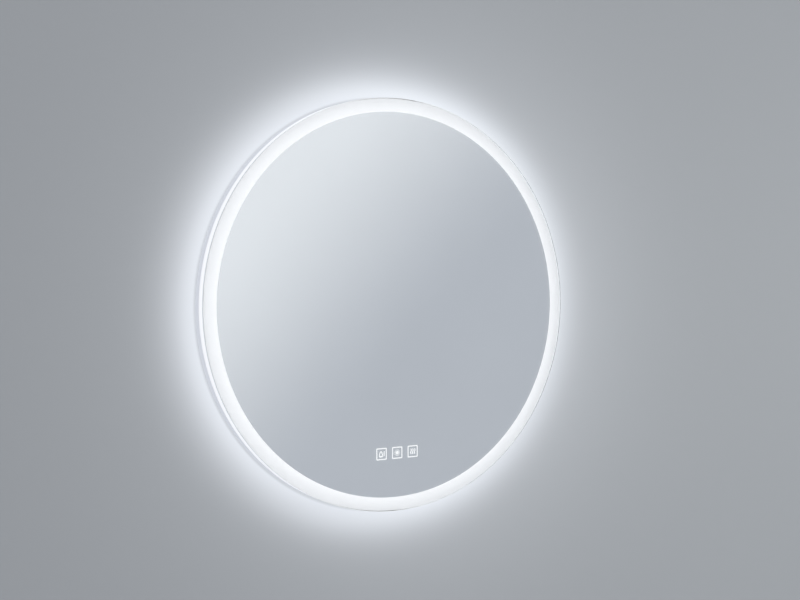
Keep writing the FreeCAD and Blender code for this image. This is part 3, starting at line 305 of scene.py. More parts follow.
world = bpy.data.worlds.new("studio")
world.use_nodes = True
tree = world.node_tree
tree.nodes.clear()
way = add(tree, "TexCoord").outputs["Generated"]
card_offset = -CARD_ACROSS * CARD_MIDDLE_X - CARD_UP * CARD_MIDDLE_Z
slope = add(tree, "VectorMath", {0: way, 1: (CARD_ACROSS, 0, CARD_UP)}, operation="DOT_PRODUCT")
place = add(tree, "Math", {0: slope.outputs["Value"], 1: card_offset}, operation="ADD")
reach = {"Value": place, "From Min": CARD_START, "From Max": CARD_END}
share = add(tree, "MapRange", reach, interpolation_type="SMOOTHSTEP")
card = add(tree, "ValToRGB", {"Fac": share}, stops=[(0.0, CARD_GREY), (1.0, CARD_BRIGHT)])
seen = add(tree, "LightPath").outputs["Is Camera Ray"]
plain = add(tree, "Mix", {"Factor": seen, "A": card, "B": linear(BACKDROP)}, data_type="RGBA")
light = add(tree, "Background", {"Color": plain.outputs[2], "Strength": 1.0})
add(tree, "OutputWorld", {"Surface": light})
scene.world = world

LAMPS = (
    # name, place, width, power in watts
    ("lamp_right", (1.3, -1.3, 0.0), 0.8, 9.5),
    ("lamp_left", (-1.3, -1.8, 1.3), 0.8, 4.0),
    ("lamp_back", (1.2, 0.6, 1.3), 0.6, 42.0),
)
for name, place, width, power in LAMPS:
    lamp = bpy.data.objects.new(name, bpy.data.lights.new(name, "AREA"))
    lamp.data.energy, lamp.data.size = power, width
    lamp.location = place
    lamp.rotation_euler = (Vector((0, 0, AXIS_Z)) - Vector(place)).to_track_quat("-Z", "Y").to_euler()
    lamp.visible_camera = lamp.visible_glossy = lamp.visible_transmission = False
    scene.collection.objects.link(lamp)
print("lamps:", len(LAMPS))

# %% [markdown]
# ## Wall and floor
#
# The wall and the floor are stage, not part of the mirror. The wall is matt grey paint. The halo that
# the lit edge and the rear window throw on it is painted into the wall as emission, and dies away with the
# distance from the rim: peak times e to the power of minus (distance / reach) to a power. A strong near
# part stands for the light that the rim throws, and a long faint tail, stronger on the right, for what the
# wall passes on. Right beside the rim a thin painted shade runs round it, where the housing keeps its own
# light off the wall.
# The wall is seen from the room only and the floor from above only, and the wall casts no shadow, so
# that the back can be looked at and lit too.

# %% Stage
WALL_PAINT, FLOOR_DARK, FLOOR_LIGHT = "#95999A", "#D5D6D7", "#D9DADB"
WALL_HALF, WALL_TOP, FLOOR_LEVEL, FLOOR_DEPTH = 2.0, 1.4, -1.4, 2.2
WALL_BEHIND = 0.5 * MM
# A halo of light and a thin shade beside the rim, both painted on the wall as emission.
HALO_PARTS = (
    # peak, reach, power, its middle to the right of the mirror's
    (0.50, 38.4 * MM, 1.6, 0.0),
    (0.167, 135.0 * MM, 1.0, 60.0 * MM),
)
HALO_COLOUR = "#F4F8FF"
SHADE_RIGHT, SHADE_DOWN = 4.8 * MM, 0.8 * MM
SHADE_WIDTH, SHADE_SOFT, SHADE_LIGHT = 5.0 * MM, 2.0 * MM, 0.70


def one_sided(tree, surface):
    """The surface on its front, and nothing on its back."""
    behind = add(tree, "NewGeometry").outputs["Backfacing"]
    return add(tree, "MixShader", {0: behind, 1: surface, 2: add(tree, "BsdfTransparent")})


def wall_surface(tree, place):
    """Matt roller paint with its 11 mm orange peel, plus a painted halo and a painted shade; seen from the
    room only.
    """
    flat = add(tree, "VectorMath", {0: place, 1: (1, 0, 1)}, operation="MULTIPLY")
    # Painted halo: emission that fades with the distance from the rim.
    halo = 0.0
    for peak, reach, bend, right in HALO_PARTS:
        away = add(tree, "VectorMath", {0: flat, 1: (right, 0, AXIS_Z)}, operation="DISTANCE")
        beyond = add(tree, "Math", {0: away.outputs["Value"], 1: RIM}, operation="SUBTRACT")
        beyond = add(tree, "Math", {0: beyond, 1: 0.0}, operation="MAXIMUM")
        share = add(tree, "Math", {0: beyond, 1: reach}, operation="DIVIDE")
        power = add(tree, "Math", {0: share, 1: bend}, operation="POWER")
        fall = add(tree, "Math", {0: math.exp(-1), 1: power}, operation="POWER")
        halo = add(tree, "Math", {0: fall, 1: peak, 2: halo}, operation="MULTIPLY_ADD")
    # Painted shade: the painted halo is dimmed in a thin ring beside the rim.
    middle = (SHADE_RIGHT, 0, AXIS_Z - SHADE_DOWN)
    housing = add(tree, "VectorMath", {0: flat, 1: middle}, operation="DISTANCE")
    low, high = RIM + SHADE_WIDTH - SHADE_SOFT, RIM + SHADE_WIDTH + SHADE_SOFT
    edge = {"Value": housing.outputs["Value"], "From Min": low, "From Max": high, "To Min": SHADE_LIGHT}
    shade = add(tree, "MapRange", edge, interpolation_type="SMOOTHSTEP")
    halo = add(tree, "Math", {0: halo, 1: shade}, operation="MULTIPLY")
    glow = add(tree, "Emission", {"Color": linear(HALO_COLOUR), "Strength": halo})
    peel = add(tree, "TexNoise", {"Vector": place, "Scale": 90.0, "Detail": 4.0})
    bump = add(tree, "Bump", {"Height": peel, "Strength": 0.05, "Distance": MM})
    paint = add(tree, "BsdfDiffuse", {"Color": linear(WALL_PAINT), "Normal": bump})
    return one_sided(tree, add(tree, "AddShader", {0: paint, 1: glow}))


def floor_surface(tree, place):
    """A pale screed with a faint cloud in its tone, seen from above only."""
    cloud = add(tree, "TexNoise", {"Vector": place, "Scale": 3.0, "Detail": 5.0})
    tone = add(tree, "ValToRGB", {"Fac": cloud}, stops=[(0.3, FLOOR_DARK), (0.7, FLOOR_LIGHT)])
    return one_sided(tree, add(tree, "BsdfDiffuse", {"Color": tone}))


def stage_plane(name, corners, surface):
    """A four-cornered stage surface that faces the side from which its corners run anticlockwise."""
    made = mesh_object(name, np.array(corners), [(0, 1, 2, 3)], weld=False)
    made.data.materials.append(material(name, surface))
    return made


sides = (-WALL_HALF, WALL_HALF)
head = [(x, WALL_BEHIND, WALL_TOP) for x in sides]
foot = [(x, WALL_BEHIND, FLOOR_LEVEL) for x in sides]
front = [(x, -FLOOR_DEPTH, FLOOR_LEVEL) for x in sides]
wall = stage_plane("wall_paint_and_painted_halo", foot + head[::-1], wall_surface)
wall.visible_shadow = wall.visible_diffuse = False
stage_plane("floor_screed", front + foot[::-1], floor_surface)

# %% [markdown]
# ## Placing a piece
#
# Every drawn piece rides on the body that it belongs to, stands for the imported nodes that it
# replaces, and takes its finish from one of the record's material slots.

# %% Placing helpers
finished = set()


def settle(piece, materials, stands_for=(), body="mirror"):
    """Give a piece its materials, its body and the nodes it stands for."""
    for finish in materials:
        piece.data.materials.append(finish)
    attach(piece, body)
    if stands_for:
        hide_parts(*stands_for)
    finished.update(stands_for)
    print(f"{piece.name}: {len(piece.data.polygons)} faces")


def choose_faces(piece, *tests):
    """Give material 1, 2 and so on to the faces whose middle (radius, level) passes that test."""
    count = len(piece.data.polygons)
    centres = np.empty(count * 3)
    piece.data.polygons.foreach_get("center", centres)
    centres = centres.reshape(-1, 3)
    radius = np.hypot(centres[:, 0], centres[:, 2] - AXIS_Z)
    chosen = np.zeros(count, int)
    for number, test in enumerate(tests, 1):
        chosen[test(radius, -centres[:, 1])] = number
    piece.data.polygons.foreach_set("material_index", chosen)


# %% [markdown]
# ## The glass
#
# Float glass is flat, clear and very slightly green through its edge. Both rims have a polished arris.
# Behind the band the back face is sandblasted, which turns clear glass into a soft white screen. Only
# a real pane, with a front, a back and a ground edge, gives the fine grey line that runs round the rim.

# %% Glass
METAL = {"Metallic": 1.0}
CLEAR = {"IOR": 1.52, "Transmission Weight": 1.0}
HALF_CLEAR = {"IOR": 1.52, "Transmission Weight": 0.45}


def even(tone, polish, scale, detail=3.0, nature=METAL):
    """A builder for one tone with a wandering roughness; nature holds what tells glass from metal."""

    def build(tree, place):
        wander = add(tree, "TexNoise", {"Vector": place, "Scale": scale, "Detail": detail})
        rough = add(tree, "MapRange", {"Value": wander, "To Min": polish[0], "To Max": polish[1]})
        return add(tree, "BsdfPrincipled", {"Base Color": linear(tone), "Roughness": rough, **nature})

    return build


# Polished: clear, with a trace of green and the faint film that wiping leaves in patches of 80 mm.
float_glass = material("float_glass", even("#FDFFFE", (0.0, 0.012), 12.0, 3.0, CLEAR))
# Sandblasted: pits scatter what passes, so it looks like snow. They are drawn 0.8 mm wide to show.
sandblasted_glass = material("sandblasted_glass", even("#FFFFFF", (0.5, 0.65), 1200.0, 2.0, CLEAR))
# Ground: the wheel's marks, drawn 1.4 mm long to show, scatter half of the light, so the edge is grey.
ground_edge = material("ground_edge", even("#D4DDDB", (0.3, 0.45), 700.0, 2.0, HALF_CLEAR))

pane_profile = [
    (0, GLASS_BACK), (SILVER_RADIUS, GLASS_BACK), (RIM - ARRIS, GLASS_BACK), (RIM, GLASS_BACK + ARRIS),
    (RIM, FRONT - ARRIS), (RIM - ARRIS, FRONT), (SILVER_RADIUS, FRONT), (0, FRONT),
]
pane = turned("mirror_pane", pane_profile, crease=20.0)
settle(pane, [float_glass, sandblasted_glass, ground_edge], ["mirror_glass"])
choose_faces(
    pane,
    lambda radius, level: (radius > SILVER_RADIUS) & (level < GLASS_BACK + 0.01 * MM),
    lambda radius, level: radius > RIM - ARRIS / 4,
)

# %% [markdown]
# ## The silver
#
# The mirror itself is a film of silver on the back of the pane, under copper and grey backing paint.
# It ends in a clean circle where the band starts. Silver reflects about nine tenths of the light. A
# hair of room between pane and film keeps the two surfaces from lying in one plane.

# %% Silver film
FILM_ROOM = 0.05 * MM
FILM_REAR = levels("silver_coating")[0]


def silver(tree, place):
    """Chemically deposited silver: a bright metal without roughness, its tone all but even."""
    cloud = add(tree, "TexNoise", {"Vector": place, "Scale": 5.0})
    tone = add(tree, "ValToRGB", {"Fac": cloud}, stops=[(0.35, "#F0F3F3"), (0.65, "#F2F5F5")])
    return add(tree, "BsdfPrincipled", {"Base Color": tone, "Metallic": 1.0, "Roughness": 0.0})


def backing_paint(tree, place):
    """Curtain-coated grey mirror paint: even and half matt, with clouds of 70 mm from the curtain."""
    cloud = add(tree, "TexNoise", {"Vector": place, "Scale": 14.0, "Detail": 3.0})
    tone = add(tree, "ValToRGB", {"Fac": cloud}, stops=[(0.3, "#5E666B"), (0.7, "#687075")])
    return add(tree, "BsdfPrincipled", {"Base Color": tone, "Roughness": 0.45})


FILM_FRONT = GLASS_BACK - FILM_ROOM
film_profile = [(0, FILM_REAR), (SILVER_RADIUS, FILM_REAR), (SILVER_RADIUS, FILM_FRONT), (0, FILM_FRONT)]
film = turned("silver_film", film_profile)
film_finishes = [material("backing_paint", backing_paint), material("silver_film", silver)]
settle(film, film_finishes, ["silver_coating"])
choose_faces(film, lambda radius, level: level > FILM_FRONT - FILM_ROOM)

# %% [markdown]
# ## The opal ring
#
# Opal acrylic is clear plastic full of tiny white grains. It hides the diodes and glows all over. Its
# front face lights the band and its outer wall is the lit edge of the mirror. The glow is strongest
# beside the silver and falls a little towards the rim.

# %% Opal ring and rear window
OPAL_WALL = 2.5 * MM
OPAL_INNER = RIM - 27.7 * MM
BAND_BRIGHT, BAND_SOFT = 0.90, 0.68
EDGE_BRIGHT, EDGE_SOFT = 0.62, 0.46
WINDOW_BRIGHT, WINDOW_SOFT = 0.55, 0.495
OPAL_TONE, LIT_WHITE = "#A9ADB0", "#FAFBFD"


def opal(first_glow, last_glow, start, end, along=(1, 0, 1), middle=(0, 0, AXIS_Z)):
    """A builder for lit opal acrylic, whose glow changes with the distance in the directions of along."""

    def build(tree, place):
        flat = add(tree, "VectorMath", {0: place, 1: along}, operation="MULTIPLY")
        away = add(tree, "VectorMath", {0: flat, 1: middle}, operation="DISTANCE").outputs["Value"]
        glow = {"Value": away, "From Min": start, "From Max": end, "To Min": first_glow, "To Max": last_glow}
        grains = add(tree, "TexNoise", {"Vector": place, "Scale": 600.0})
        settings = {
            "Base Color": linear(OPAL_TONE),
            "Roughness": 0.35,
            "Emission Color": linear(LIT_WHITE),
            "Emission Strength": add(tree, "MapRange", glow),
            "Normal": add(tree, "Bump", {"Height": grains, "Strength": 0.05, "Distance": MM}),
        }
        return add(tree, "BsdfPrincipled", settings)

    return build


ring_profile = [
    (OPAL_INNER, OPAL_FRONT - OPAL_WALL), (RIM - OPAL_WALL, OPAL_FRONT - OPAL_WALL),
    (RIM - OPAL_WALL, OPAL_LOW), (RIM, OPAL_LOW), (RIM, OPAL_FRONT), (OPAL_INNER, OPAL_FRONT),
]
ring = turned("opal_ring", soft_corners(ring_profile, 0.4 * MM, steps=3))
band_glow = opal(BAND_BRIGHT, BAND_SOFT, SILVER_RADIUS, RIM - OPAL_WALL)
edge_glow = opal(EDGE_SOFT, EDGE_BRIGHT, OPAL_LOW, OPAL_FRONT, along=(0, 1, 0), middle=(0, 0, 0))
ring_finishes = [material("opal_acrylic_band", band_glow), material("opal_acrylic_edge", edge_glow)]
settle(ring, ring_finishes, ["opal_diffuser_ring"])
choose_faces(ring, lambda radius, level: radius > RIM - 0.3 * MM)

WINDOW_REAR, WINDOW_FRONT = levels("rear_window_ring")
WINDOW_OUTER = round(span("rear_window_ring")[1][0], 4)
window_profile = [
    (OPAL_INNER, WINDOW_REAR), (WINDOW_OUTER, WINDOW_REAR),
    (WINDOW_OUTER, WINDOW_FRONT), (OPAL_INNER, WINDOW_FRONT),
]
window = turned("rear_window", soft_corners(window_profile, 0.3 * MM, steps=3), steps=360)
window_glow = material("opal_acrylic_window", opal(WINDOW_BRIGHT, WINDOW_SOFT, OPAL_INNER, WINDOW_OUTER))
settle(window, [window_glow], ["rear_window_ring"])

# %% [markdown]
# ## The rolled ring
#
# One aluminium section, 1.6 mm thick, is extruded, rolled into a ring and butted at the bottom, where
# a hair-wide slit stays. Its outer wall is the grey band behind the lit edge. The corners of an
# extrusion are never quite sharp, so each one gets a radius of a quarter of a millimetre. Anodised
# aluminium is soft and satin, with fine drawing lines along the section.

# %% Rolled ring
SECTION = 1.6 * MM
WEB_FRONT, WEB_REAR = OPAL_LOW, OPAL_LOW - SECTION
STRIP_WALL = round(OPAL_INNER - 0.3 * MM, 4)
INNER_WALL, SHELL_WALL = STRIP_WALL - SECTION, RIM - SECTION
BOND = levels("bonding_tape")[0]
FLANGE_EDGE = STRIP_WALL - 16.0 * MM
LEDGE_REAR, LEDGE_EDGE = 10.0 * MM, INNER_WALL - 14.4 * MM
RIB, RIB_HEIGHT = RIM - OPAL_WALL - 0.3 * MM, 2.5 * MM
LIP, LIP_FRONT = 2.0 * MM, SHELL_LOW + 1.2 * MM
BUTT_SLIT, SECTION_CORNER = 0.4 * MM, 0.25 * MM
LINES_ROUND, LINES_ACROSS = 4.0, 2600.0


def anodised(tree, place):
    """Satin anodised aluminium: drawing lines, 0.4 mm apart, run round the ring and soften its shine."""
    split = add(tree, "SeparateXYZ", {"Vector": place})
    up = add(tree, "Math", {0: split.outputs["Z"], 1: AXIS_Z}, operation="SUBTRACT")
    angle = add(tree, "Math", {0: up, 1: split.outputs["X"]}, operation="ARCTAN2")
    lines = add(tree, "CombineXYZ", {"X": angle, "Y": split.outputs["Y"]})
    lines = add(tree, "VectorMath", {0: lines, 1: (LINES_ROUND, LINES_ACROSS, 1.0)}, operation="MULTIPLY")
    drawing = add(tree, "TexNoise", {"Vector": lines, "Scale": 1.0})
    settings = {
        "Base Color": linear("#E9EBEE"),
        "Metallic": 0.85,
        "Roughness": add(tree, "MapRange", {"Value": drawing, "To Min": 0.38, "To Max": 0.5}),
        "Normal": add(tree, "Bump", {"Height": drawing, "Strength": 0.15, "Distance": 0.1 * MM}),
    }
    return add(tree, "BsdfPrincipled", settings)


section = [
    # outer wall, and rib of the front chamber
    (RIM, SHELL_LOW), (RIM, WEB_FRONT), (RIB, WEB_FRONT), (RIB, WEB_FRONT + RIB_HEIGHT),
    (RIB - SECTION, WEB_FRONT + RIB_HEIGHT), (RIB - SECTION, WEB_FRONT),
    # inner wall, bonding flange and ledge
    (STRIP_WALL, WEB_FRONT), (STRIP_WALL, BOND), (FLANGE_EDGE, BOND), (FLANGE_EDGE, BOND - SECTION),
    (INNER_WALL, BOND - SECTION), (INNER_WALL, LEDGE_REAR + SECTION), (LEDGE_EDGE, LEDGE_REAR + SECTION),
    (LEDGE_EDGE, LEDGE_REAR), (INNER_WALL, LEDGE_REAR), (INNER_WALL, SHELL_LOW),
    # rear chamber between its lips
    (STRIP_WALL + LIP, SHELL_LOW), (STRIP_WALL + LIP, LIP_FRONT), (STRIP_WALL, LIP_FRONT),
    (STRIP_WALL, WEB_REAR), (SHELL_WALL, WEB_REAR), (SHELL_WALL, LIP_FRONT),
    (SHELL_WALL - LIP, LIP_FRONT), (SHELL_WALL - LIP, SHELL_LOW),
]
section = soft_corners(section, SECTION_CORNER, steps=3)
shell = turned("rolled_ring", section, steps=RIM_STEPS + 1, slit=BUTT_SLIT, crease=50.0)
anodised_aluminium = material("anodised_aluminium", anodised)
settle(shell, [anodised_aluminium], ["chassis_ring"])

# %% [markdown]
# ## The back pan
#
# The pan is deep drawn from zinc-coated sheet. Seen from behind it shows a raised plateau, a recess for
# the hook, two beads that stop it from drumming, and rows of vent slots. The press function adds those
# shapes up: each one is a signed distance to its edge, turned into a soft step. The flat points lie
# close together where the sheet bends and far apart where it is flat.

# %% Shape of the pan
PAN_SHEET = 1.0 * MM
PAN_EDGE = round(span("back_pan")[1][0], 4)
PLATEAU, PAN_SLOPE = round(PAN_EDGE - 23.1 * MM, 4), 5.0 * MM
PLATEAU_ROOM, FLANGE_ROOM = 6.0 * MM, 10.0 * MM
# The pressed boxes: x, z, width, height, corner, depth. The recess comes first, then the two beads.
BOXES = [(0.0, 0.130, 0.310, 0.076, 0.009, 4.0 * MM)]
BOXES += [(0.0, z, 0.210, 0.012, 0.004, 1.5 * MM) for z in (0.045, -0.115)]


def smooth_step(value, low, high):
    """0 below low and 1 above high, with the curve 3 t^2 - 2 t^3 between them."""
    share = np.clip((value - low) / (high - low), 0, 1)
    return share * share * (3 - 2 * share)


def box_distance(points, x, z, width, height, corner):
    """Distance to a rectangle with round corners, negative inside it."""
    away = np.abs(points - (x, z)) - (width / 2 - corner, height / 2 - corner)
    beyond = np.linalg.norm(np.maximum(away, 0), axis=1)
    return beyond + np.minimum(away.max(axis=1), 0) - corner


def press_pan(flat):
    """The room side of the pan: flange, slope and plateau, then the pressed boxes."""
    radius = np.linalg.norm(flat, axis=1)
    rise = FLANGE_ROOM - PLATEAU_ROOM
    level = PLATEAU_ROOM + rise * smooth_step(radius, PLATEAU - 0.6 * MM, PLATEAU + PAN_SLOPE + 0.6 * MM)
    for *box, depth in BOXES:
        level = level + depth * (1 - smooth_step(box_distance(flat, *box), -0.4 * MM, 1.4 * MM))
    return np.stack([flat[:, 0], -level, flat[:, 1] + AXIS_Z], axis=1)


# %% [markdown]
# The sheet is cut along loops of points: its outline and its holes. The holes sit where the packed
# screws, bumpers and rivets do, so their places are read from those pieces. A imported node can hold
# several separate pieces, and the edges of its mesh tell which corners belong together.


# %% Loops of points
def circle(x, z, radius, count):
    """Points round a circle."""
    angles = np.linspace(0, 2 * math.pi, count, endpoint=False)
    return np.stack([x + radius * np.cos(angles), z + radius * np.sin(angles)], axis=1)


def stadium(x, z, length, width, upright, count=9):
    """Points round a slot with round ends."""
    angles = np.linspace(-math.pi / 2, math.pi / 2, count)
    end = np.stack([np.cos(angles) * width / 2 + (length - width) / 2, np.sin(angles) * width / 2], axis=1)
    loop = np.concatenate([end, -end])
    if upright:
        loop = np.stack([-loop[:, 1], loop[:, 0]], axis=1)
    return loop + (x, z)


def round_box(x, z, width, height, corner, grow, gap):
    """Points at an even gap along a rectangle with round corners, grown by a distance."""
    reach = corner + grow
    turns = np.radians([0, 90, 180, 270])[:, None] + np.linspace(0, math.pi / 2, 6)[None, :]
    sides = np.array([(1, 1), (-1, 1), (-1, -1), (1, -1)])[:, None, :]
    centres = sides * (width / 2 - corner, height / 2 - corner)
    loop = (centres + reach * np.stack([np.cos(turns), np.sin(turns)], axis=-1)).reshape(-1, 2)
    after = np.roll(loop, -1, axis=0)
    length = np.linalg.norm(after - loop, axis=1)
    pieces = np.maximum(1, np.ceil(length / gap).astype(int))
    number = np.repeat(np.arange(len(loop)), pieces)
    share = (np.arange(pieces.sum()) - np.repeat(np.cumsum(pieces) - pieces, pieces)) / pieces[number]
    return loop[number] + (after - loop)[number] * share[:, None] + (x, z)


def places_of(node):
    """The middles (x, z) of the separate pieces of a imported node."""
    shell = bmesh.new()
    shell.from_mesh(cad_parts[node].data)
    bmesh.ops.remove_doubles(shell, verts=shell.verts, dist=1e-6)
    middles, left = [], set(shell.verts)
    while left:
        piece, fresh = set(), {left.pop()}
        while fresh:
            piece |= fresh
            fresh = {edge.other_vert(corner) for corner in fresh for edge in corner.link_edges} - piece
        left -= piece
        corners = np.array([tuple(corner.co) for corner in piece])
        middles.append((corners.min(axis=0) + corners.max(axis=0)) / 2)
    shell.free()
    return sorted((round(float(x), 5), round(float(z) - AXIS_Z, 5)) for x, _, z in middles)


# %% Holes and filling points of the pan
PAN_SCREWS, BUMPERS, RIVETS = places_of("pan_screws"), places_of("bumpers"), places_of("hanger_rivets")
INLET, EARTH = places_of("cable_grommet"), places_of("earth_stud")
RIVET_HOLE = 2.05 * MM
HOLES = (
    # places, radius, points round each hole
    (PAN_SCREWS, 1.7 * MM, 24),
    (BUMPERS, 3.2 * MM, 32),
    (RIVETS, RIVET_HOLE, 24),
    (INLET, 7.2 * MM, 48),
    (EARTH, RIVET_HOLE, 24),
)
VENT_ROWS, VENT_PITCH, VENT_LENGTH, VENT_WIDTH, VENTS = (-0.185, 0.200), 0.011, 0.026, 0.0035, 5
GRID_GAP = 8 * MM
print("pan screws", len(PAN_SCREWS), "bumpers", len(BUMPERS), "rivets", len(RIVETS))

loops = [circle(0, 0, PAN_EDGE, 360)]
loops += [circle(x, z, radius, count) for places, radius, count in HOLES for x, z in places]
vent_places = VENT_PITCH * (np.arange(VENTS) - (VENTS - 1) / 2)
loops += [stadium(x, z, VENT_LENGTH, VENT_WIDTH, True) for z in VENT_ROWS for x in vent_places]

bend_radii = PLATEAU + np.array([-1.5, -0.6, 0.1, 0.8, 1.6, 2.5, 3.4, 4.2, 4.9, 5.6, 6.5]) * MM
bend_edges = np.array([-1.0, -0.4, 0.0, 0.25, 0.5, 0.75, 1.0, 1.4, 2.0]) * MM
filling = [circle(0, 0, radius, 600) for radius in bend_radii]
filling += [round_box(*box, grow, 2.5 * MM) for *box, depth in BOXES for grow in bend_edges]
half = math.ceil(PAN_EDGE / GRID_GAP)
rows = np.arange(-half, half + 1) * GRID_GAP
grid_x, grid_z = np.meshgrid(rows, rows * math.sqrt(3) / 2)
grid_x = grid_x + np.where(np.arange(len(rows)) % 2, GRID_GAP / 2, 0)[:, None]
grid = np.stack([grid_x.ravel(), grid_z.ravel()], axis=1)
from_bends = np.abs(np.linalg.norm(grid, axis=1) - PLATEAU - PAN_SLOPE / 2) - 5 * MM
for *box, depth in BOXES:
    from_bends = np.minimum(from_bends, np.abs(box_distance(grid, *box)) - 3 * MM)
filling.append(grid[from_bends > 0])
pan = sheet_metal("pressed_pan", loops, np.concatenate(filling), press_pan, PAN_SHEET)

# %% [markdown]
# Zinc that has frozen on steel shows its crystals. A Voronoi pattern gives each crystal one random
# value, which sets its tone, its roughness and its lean, so the sheet glitters.

# %% Finish of the pan
SPANGLE_SIZE, SPANGLE_TILT = 5.0 * MM, 0.12
ZINC_LIGHT, ZINC_DARK = "#CDD1D4", "#BCC1C5"


def galvanised(tree, place):
    """Hot-dip zinc: crystals about 5 mm wide, each with its own tone, tilt and roughness."""
    crystal = add(tree, "TexVoronoi", {"Vector": place, "Scale": 1 / SPANGLE_SIZE}).outputs["Color"]
    upright = add(tree, "NewGeometry").outputs["Normal"]
    tilt = add(tree, "VectorMath", {0: crystal, 1: (0.5, 0.5, 0.5)}, operation="SUBTRACT")
    tilt = add(tree, "VectorMath", {0: tilt, "Scale": SPANGLE_TILT}, operation="SCALE")
    tilted = add(tree, "VectorMath", {0: upright, 1: tilt}, operation="ADD")
    settings = {
        "Base Color": add(tree, "ValToRGB", {"Fac": crystal}, stops=[(0.2, ZINC_DARK), (0.8, ZINC_LIGHT)]),
        "Metallic": 0.8,
        "Roughness": add(tree, "MapRange", {"Value": crystal, "To Min": 0.34, "To Max": 0.5}),
        "Normal": add(tree, "VectorMath", {0: tilted}, operation="NORMALIZE"),
    }
    return add(tree, "BsdfPrincipled", settings)


zinc_sheet = material("galvanised_steel", galvanised)
settle(pan, [zinc_sheet], ["back_pan"])
print("pan levels", [round(level * 1000, 2) for level in levels("back_pan")])

# %% [markdown]
# ## The hook
#
# The mirror hangs by a folded steel lip that drops behind the upright lip of the wall rail. Both are
# strips of 1.5 mm sheet, cut flat with their holes and folded along a path: the distance along the
# strip is measured on its middle line, round the bends, so the holes land where they were drilled.

# %% Folded strips
HOOK_SHEET, BEND, STRIP_CORNER = 1.5 * MM, 1.5 * MM, 3.0 * MM


def folded_strip(name, corners, length, holes):
    """A strip folded along (level, z) corners, with holes of (shape, x, height, its sizes)."""
    corners = np.asarray(corners, float)
    bends = soft_corners(corners, BEND, steps=9).reshape(len(corners), -1, 2)[1:-1].reshape(-1, 2)
    path = np.concatenate([corners[:1], bends, corners[-1:]])
    along = np.concatenate([[0], np.cumsum(np.linalg.norm(np.diff(path, axis=0), axis=1))])
    outline = round_box(0, along[-1] / 2, length, along[-1], STRIP_CORNER, 0, 6 * MM)
    loops = [shape(x, np.interp(height, path[:, 1], along), *sizes) for shape, x, height, *sizes in holes]
    across = np.arange(-length / 2 + 4 * MM, length / 2 - 3 * MM, 8 * MM)
    filling = np.stack(np.meshgrid(across, np.unique(along)), axis=-1).reshape(-1, 2)

    def fold(flat):
        level = np.interp(flat[:, 1], along, path[:, 0])
        height = np.interp(flat[:, 1], along, path[:, 1])
        return np.stack([flat[:, 0], -level, height + AXIS_Z], axis=1)

    made = sheet_metal(name, [outline, *loops], filling, fold, HOOK_SHEET)
    made.modifiers["thickness"].offset = 0
    return made


# %% Hanger and wall rail
def strip_sizes(node):
    """Foot and top from the axis, length, and the levels of the rear and the front sheet's middle."""
    low, high = span(node)
    half = HOOK_SHEET / 2
    return low[2] - AXIS_Z, high[2] - AXIS_Z, high[0] - low[0], -high[1] + half, -low[1] - half


RAIL_FOOT, RAIL_TOP, RAIL_LENGTH, RAIL_WALL, RAIL_LIP = strip_sizes("wall_rail")
RAIL_SLOT_PLACES, RAIL_SLOT = (-80 * MM, 80 * MM), (14.0 * MM, 5.5 * MM, False)
HANG_FOOT, HANG_TOP, HANG_LENGTH, HANG_LIP, HANG_PLATE = strip_sizes("hanger_bracket")
HANG_STEP = HANG_TOP - 30.0 * MM + HOOK_SHEET / 2
RAIL_STEP = HANG_FOOT - 1.5 * MM - HOOK_SHEET / 2

hanger_path = [(HANG_LIP, HANG_FOOT), (HANG_LIP, HANG_STEP), (HANG_PLATE, HANG_STEP), (HANG_PLATE, HANG_TOP)]
hanger_holes = [(circle, x, z, RIVET_HOLE, 24) for x, z in RIVETS]
hanger = folded_strip("folded_hanger", hanger_path, HANG_LENGTH, hanger_holes)
settle(hanger, [zinc_sheet], ["hanger_bracket"])
rail_path = [(RAIL_WALL, RAIL_FOOT), (RAIL_WALL, RAIL_STEP), (RAIL_LIP, RAIL_STEP), (RAIL_LIP, RAIL_TOP)]
rail_holes = [(stadium, x, -AXIS_Z, *RAIL_SLOT) for x in RAIL_SLOT_PLACES]
rail = folded_strip("folded_rail", rail_path, RAIL_LENGTH, rail_holes)
settle(rail, [zinc_sheet], ["wall_rail"], body="wall_rail")

# %% [markdown]
# ## Small turned pieces
#
# Screws, rivets, bumpers and the grommet are lathe shapes about their own axes, so one profile is
# turned at every place. A third column holds its wave: a radius with a wave goes in and out six times
# a turn, which cuts the six-lobed drive of a screw.

# %% Turning at many places
DRIVE_LOBES = 6


def turned_set(name, profile, places, crease, steps=48):
    """Turn an open profile of (radius, level, wave) at every place; its ends lie on the axis.

    The radius at angle a is r (1 + wave cos 6a). A profile without a third column has no waves.
    """
    profile = np.asarray(profile, float)
    profile = np.pad(profile, ((0, 0), (0, 3 - profile.shape[1])))
    angles = np.linspace(0, 2 * math.pi, steps, endpoint=False)[:, None]
    radius = profile[None, :, 0] * (1 + profile[None, :, 2] * np.cos(DRIVE_LOBES * angles))
    level = np.broadcast_to(-profile[None, :, 1], radius.shape)
    one = np.stack([radius * np.cos(angles), level, radius * np.sin(angles)], axis=-1).reshape(-1, 3)
    shifts = np.array([(x, 0, z + AXIS_Z) for x, z in places])
    points = (one[None] + shifts[:, None]).reshape(-1, 3)
    quads = grid_faces(steps, len(profile), True, False)
    faces = (quads[None] + len(one) * np.arange(len(places))[:, None, None]).reshape(-1, 4)
    return mesh_object(name, points, faces.tolist(), crease)


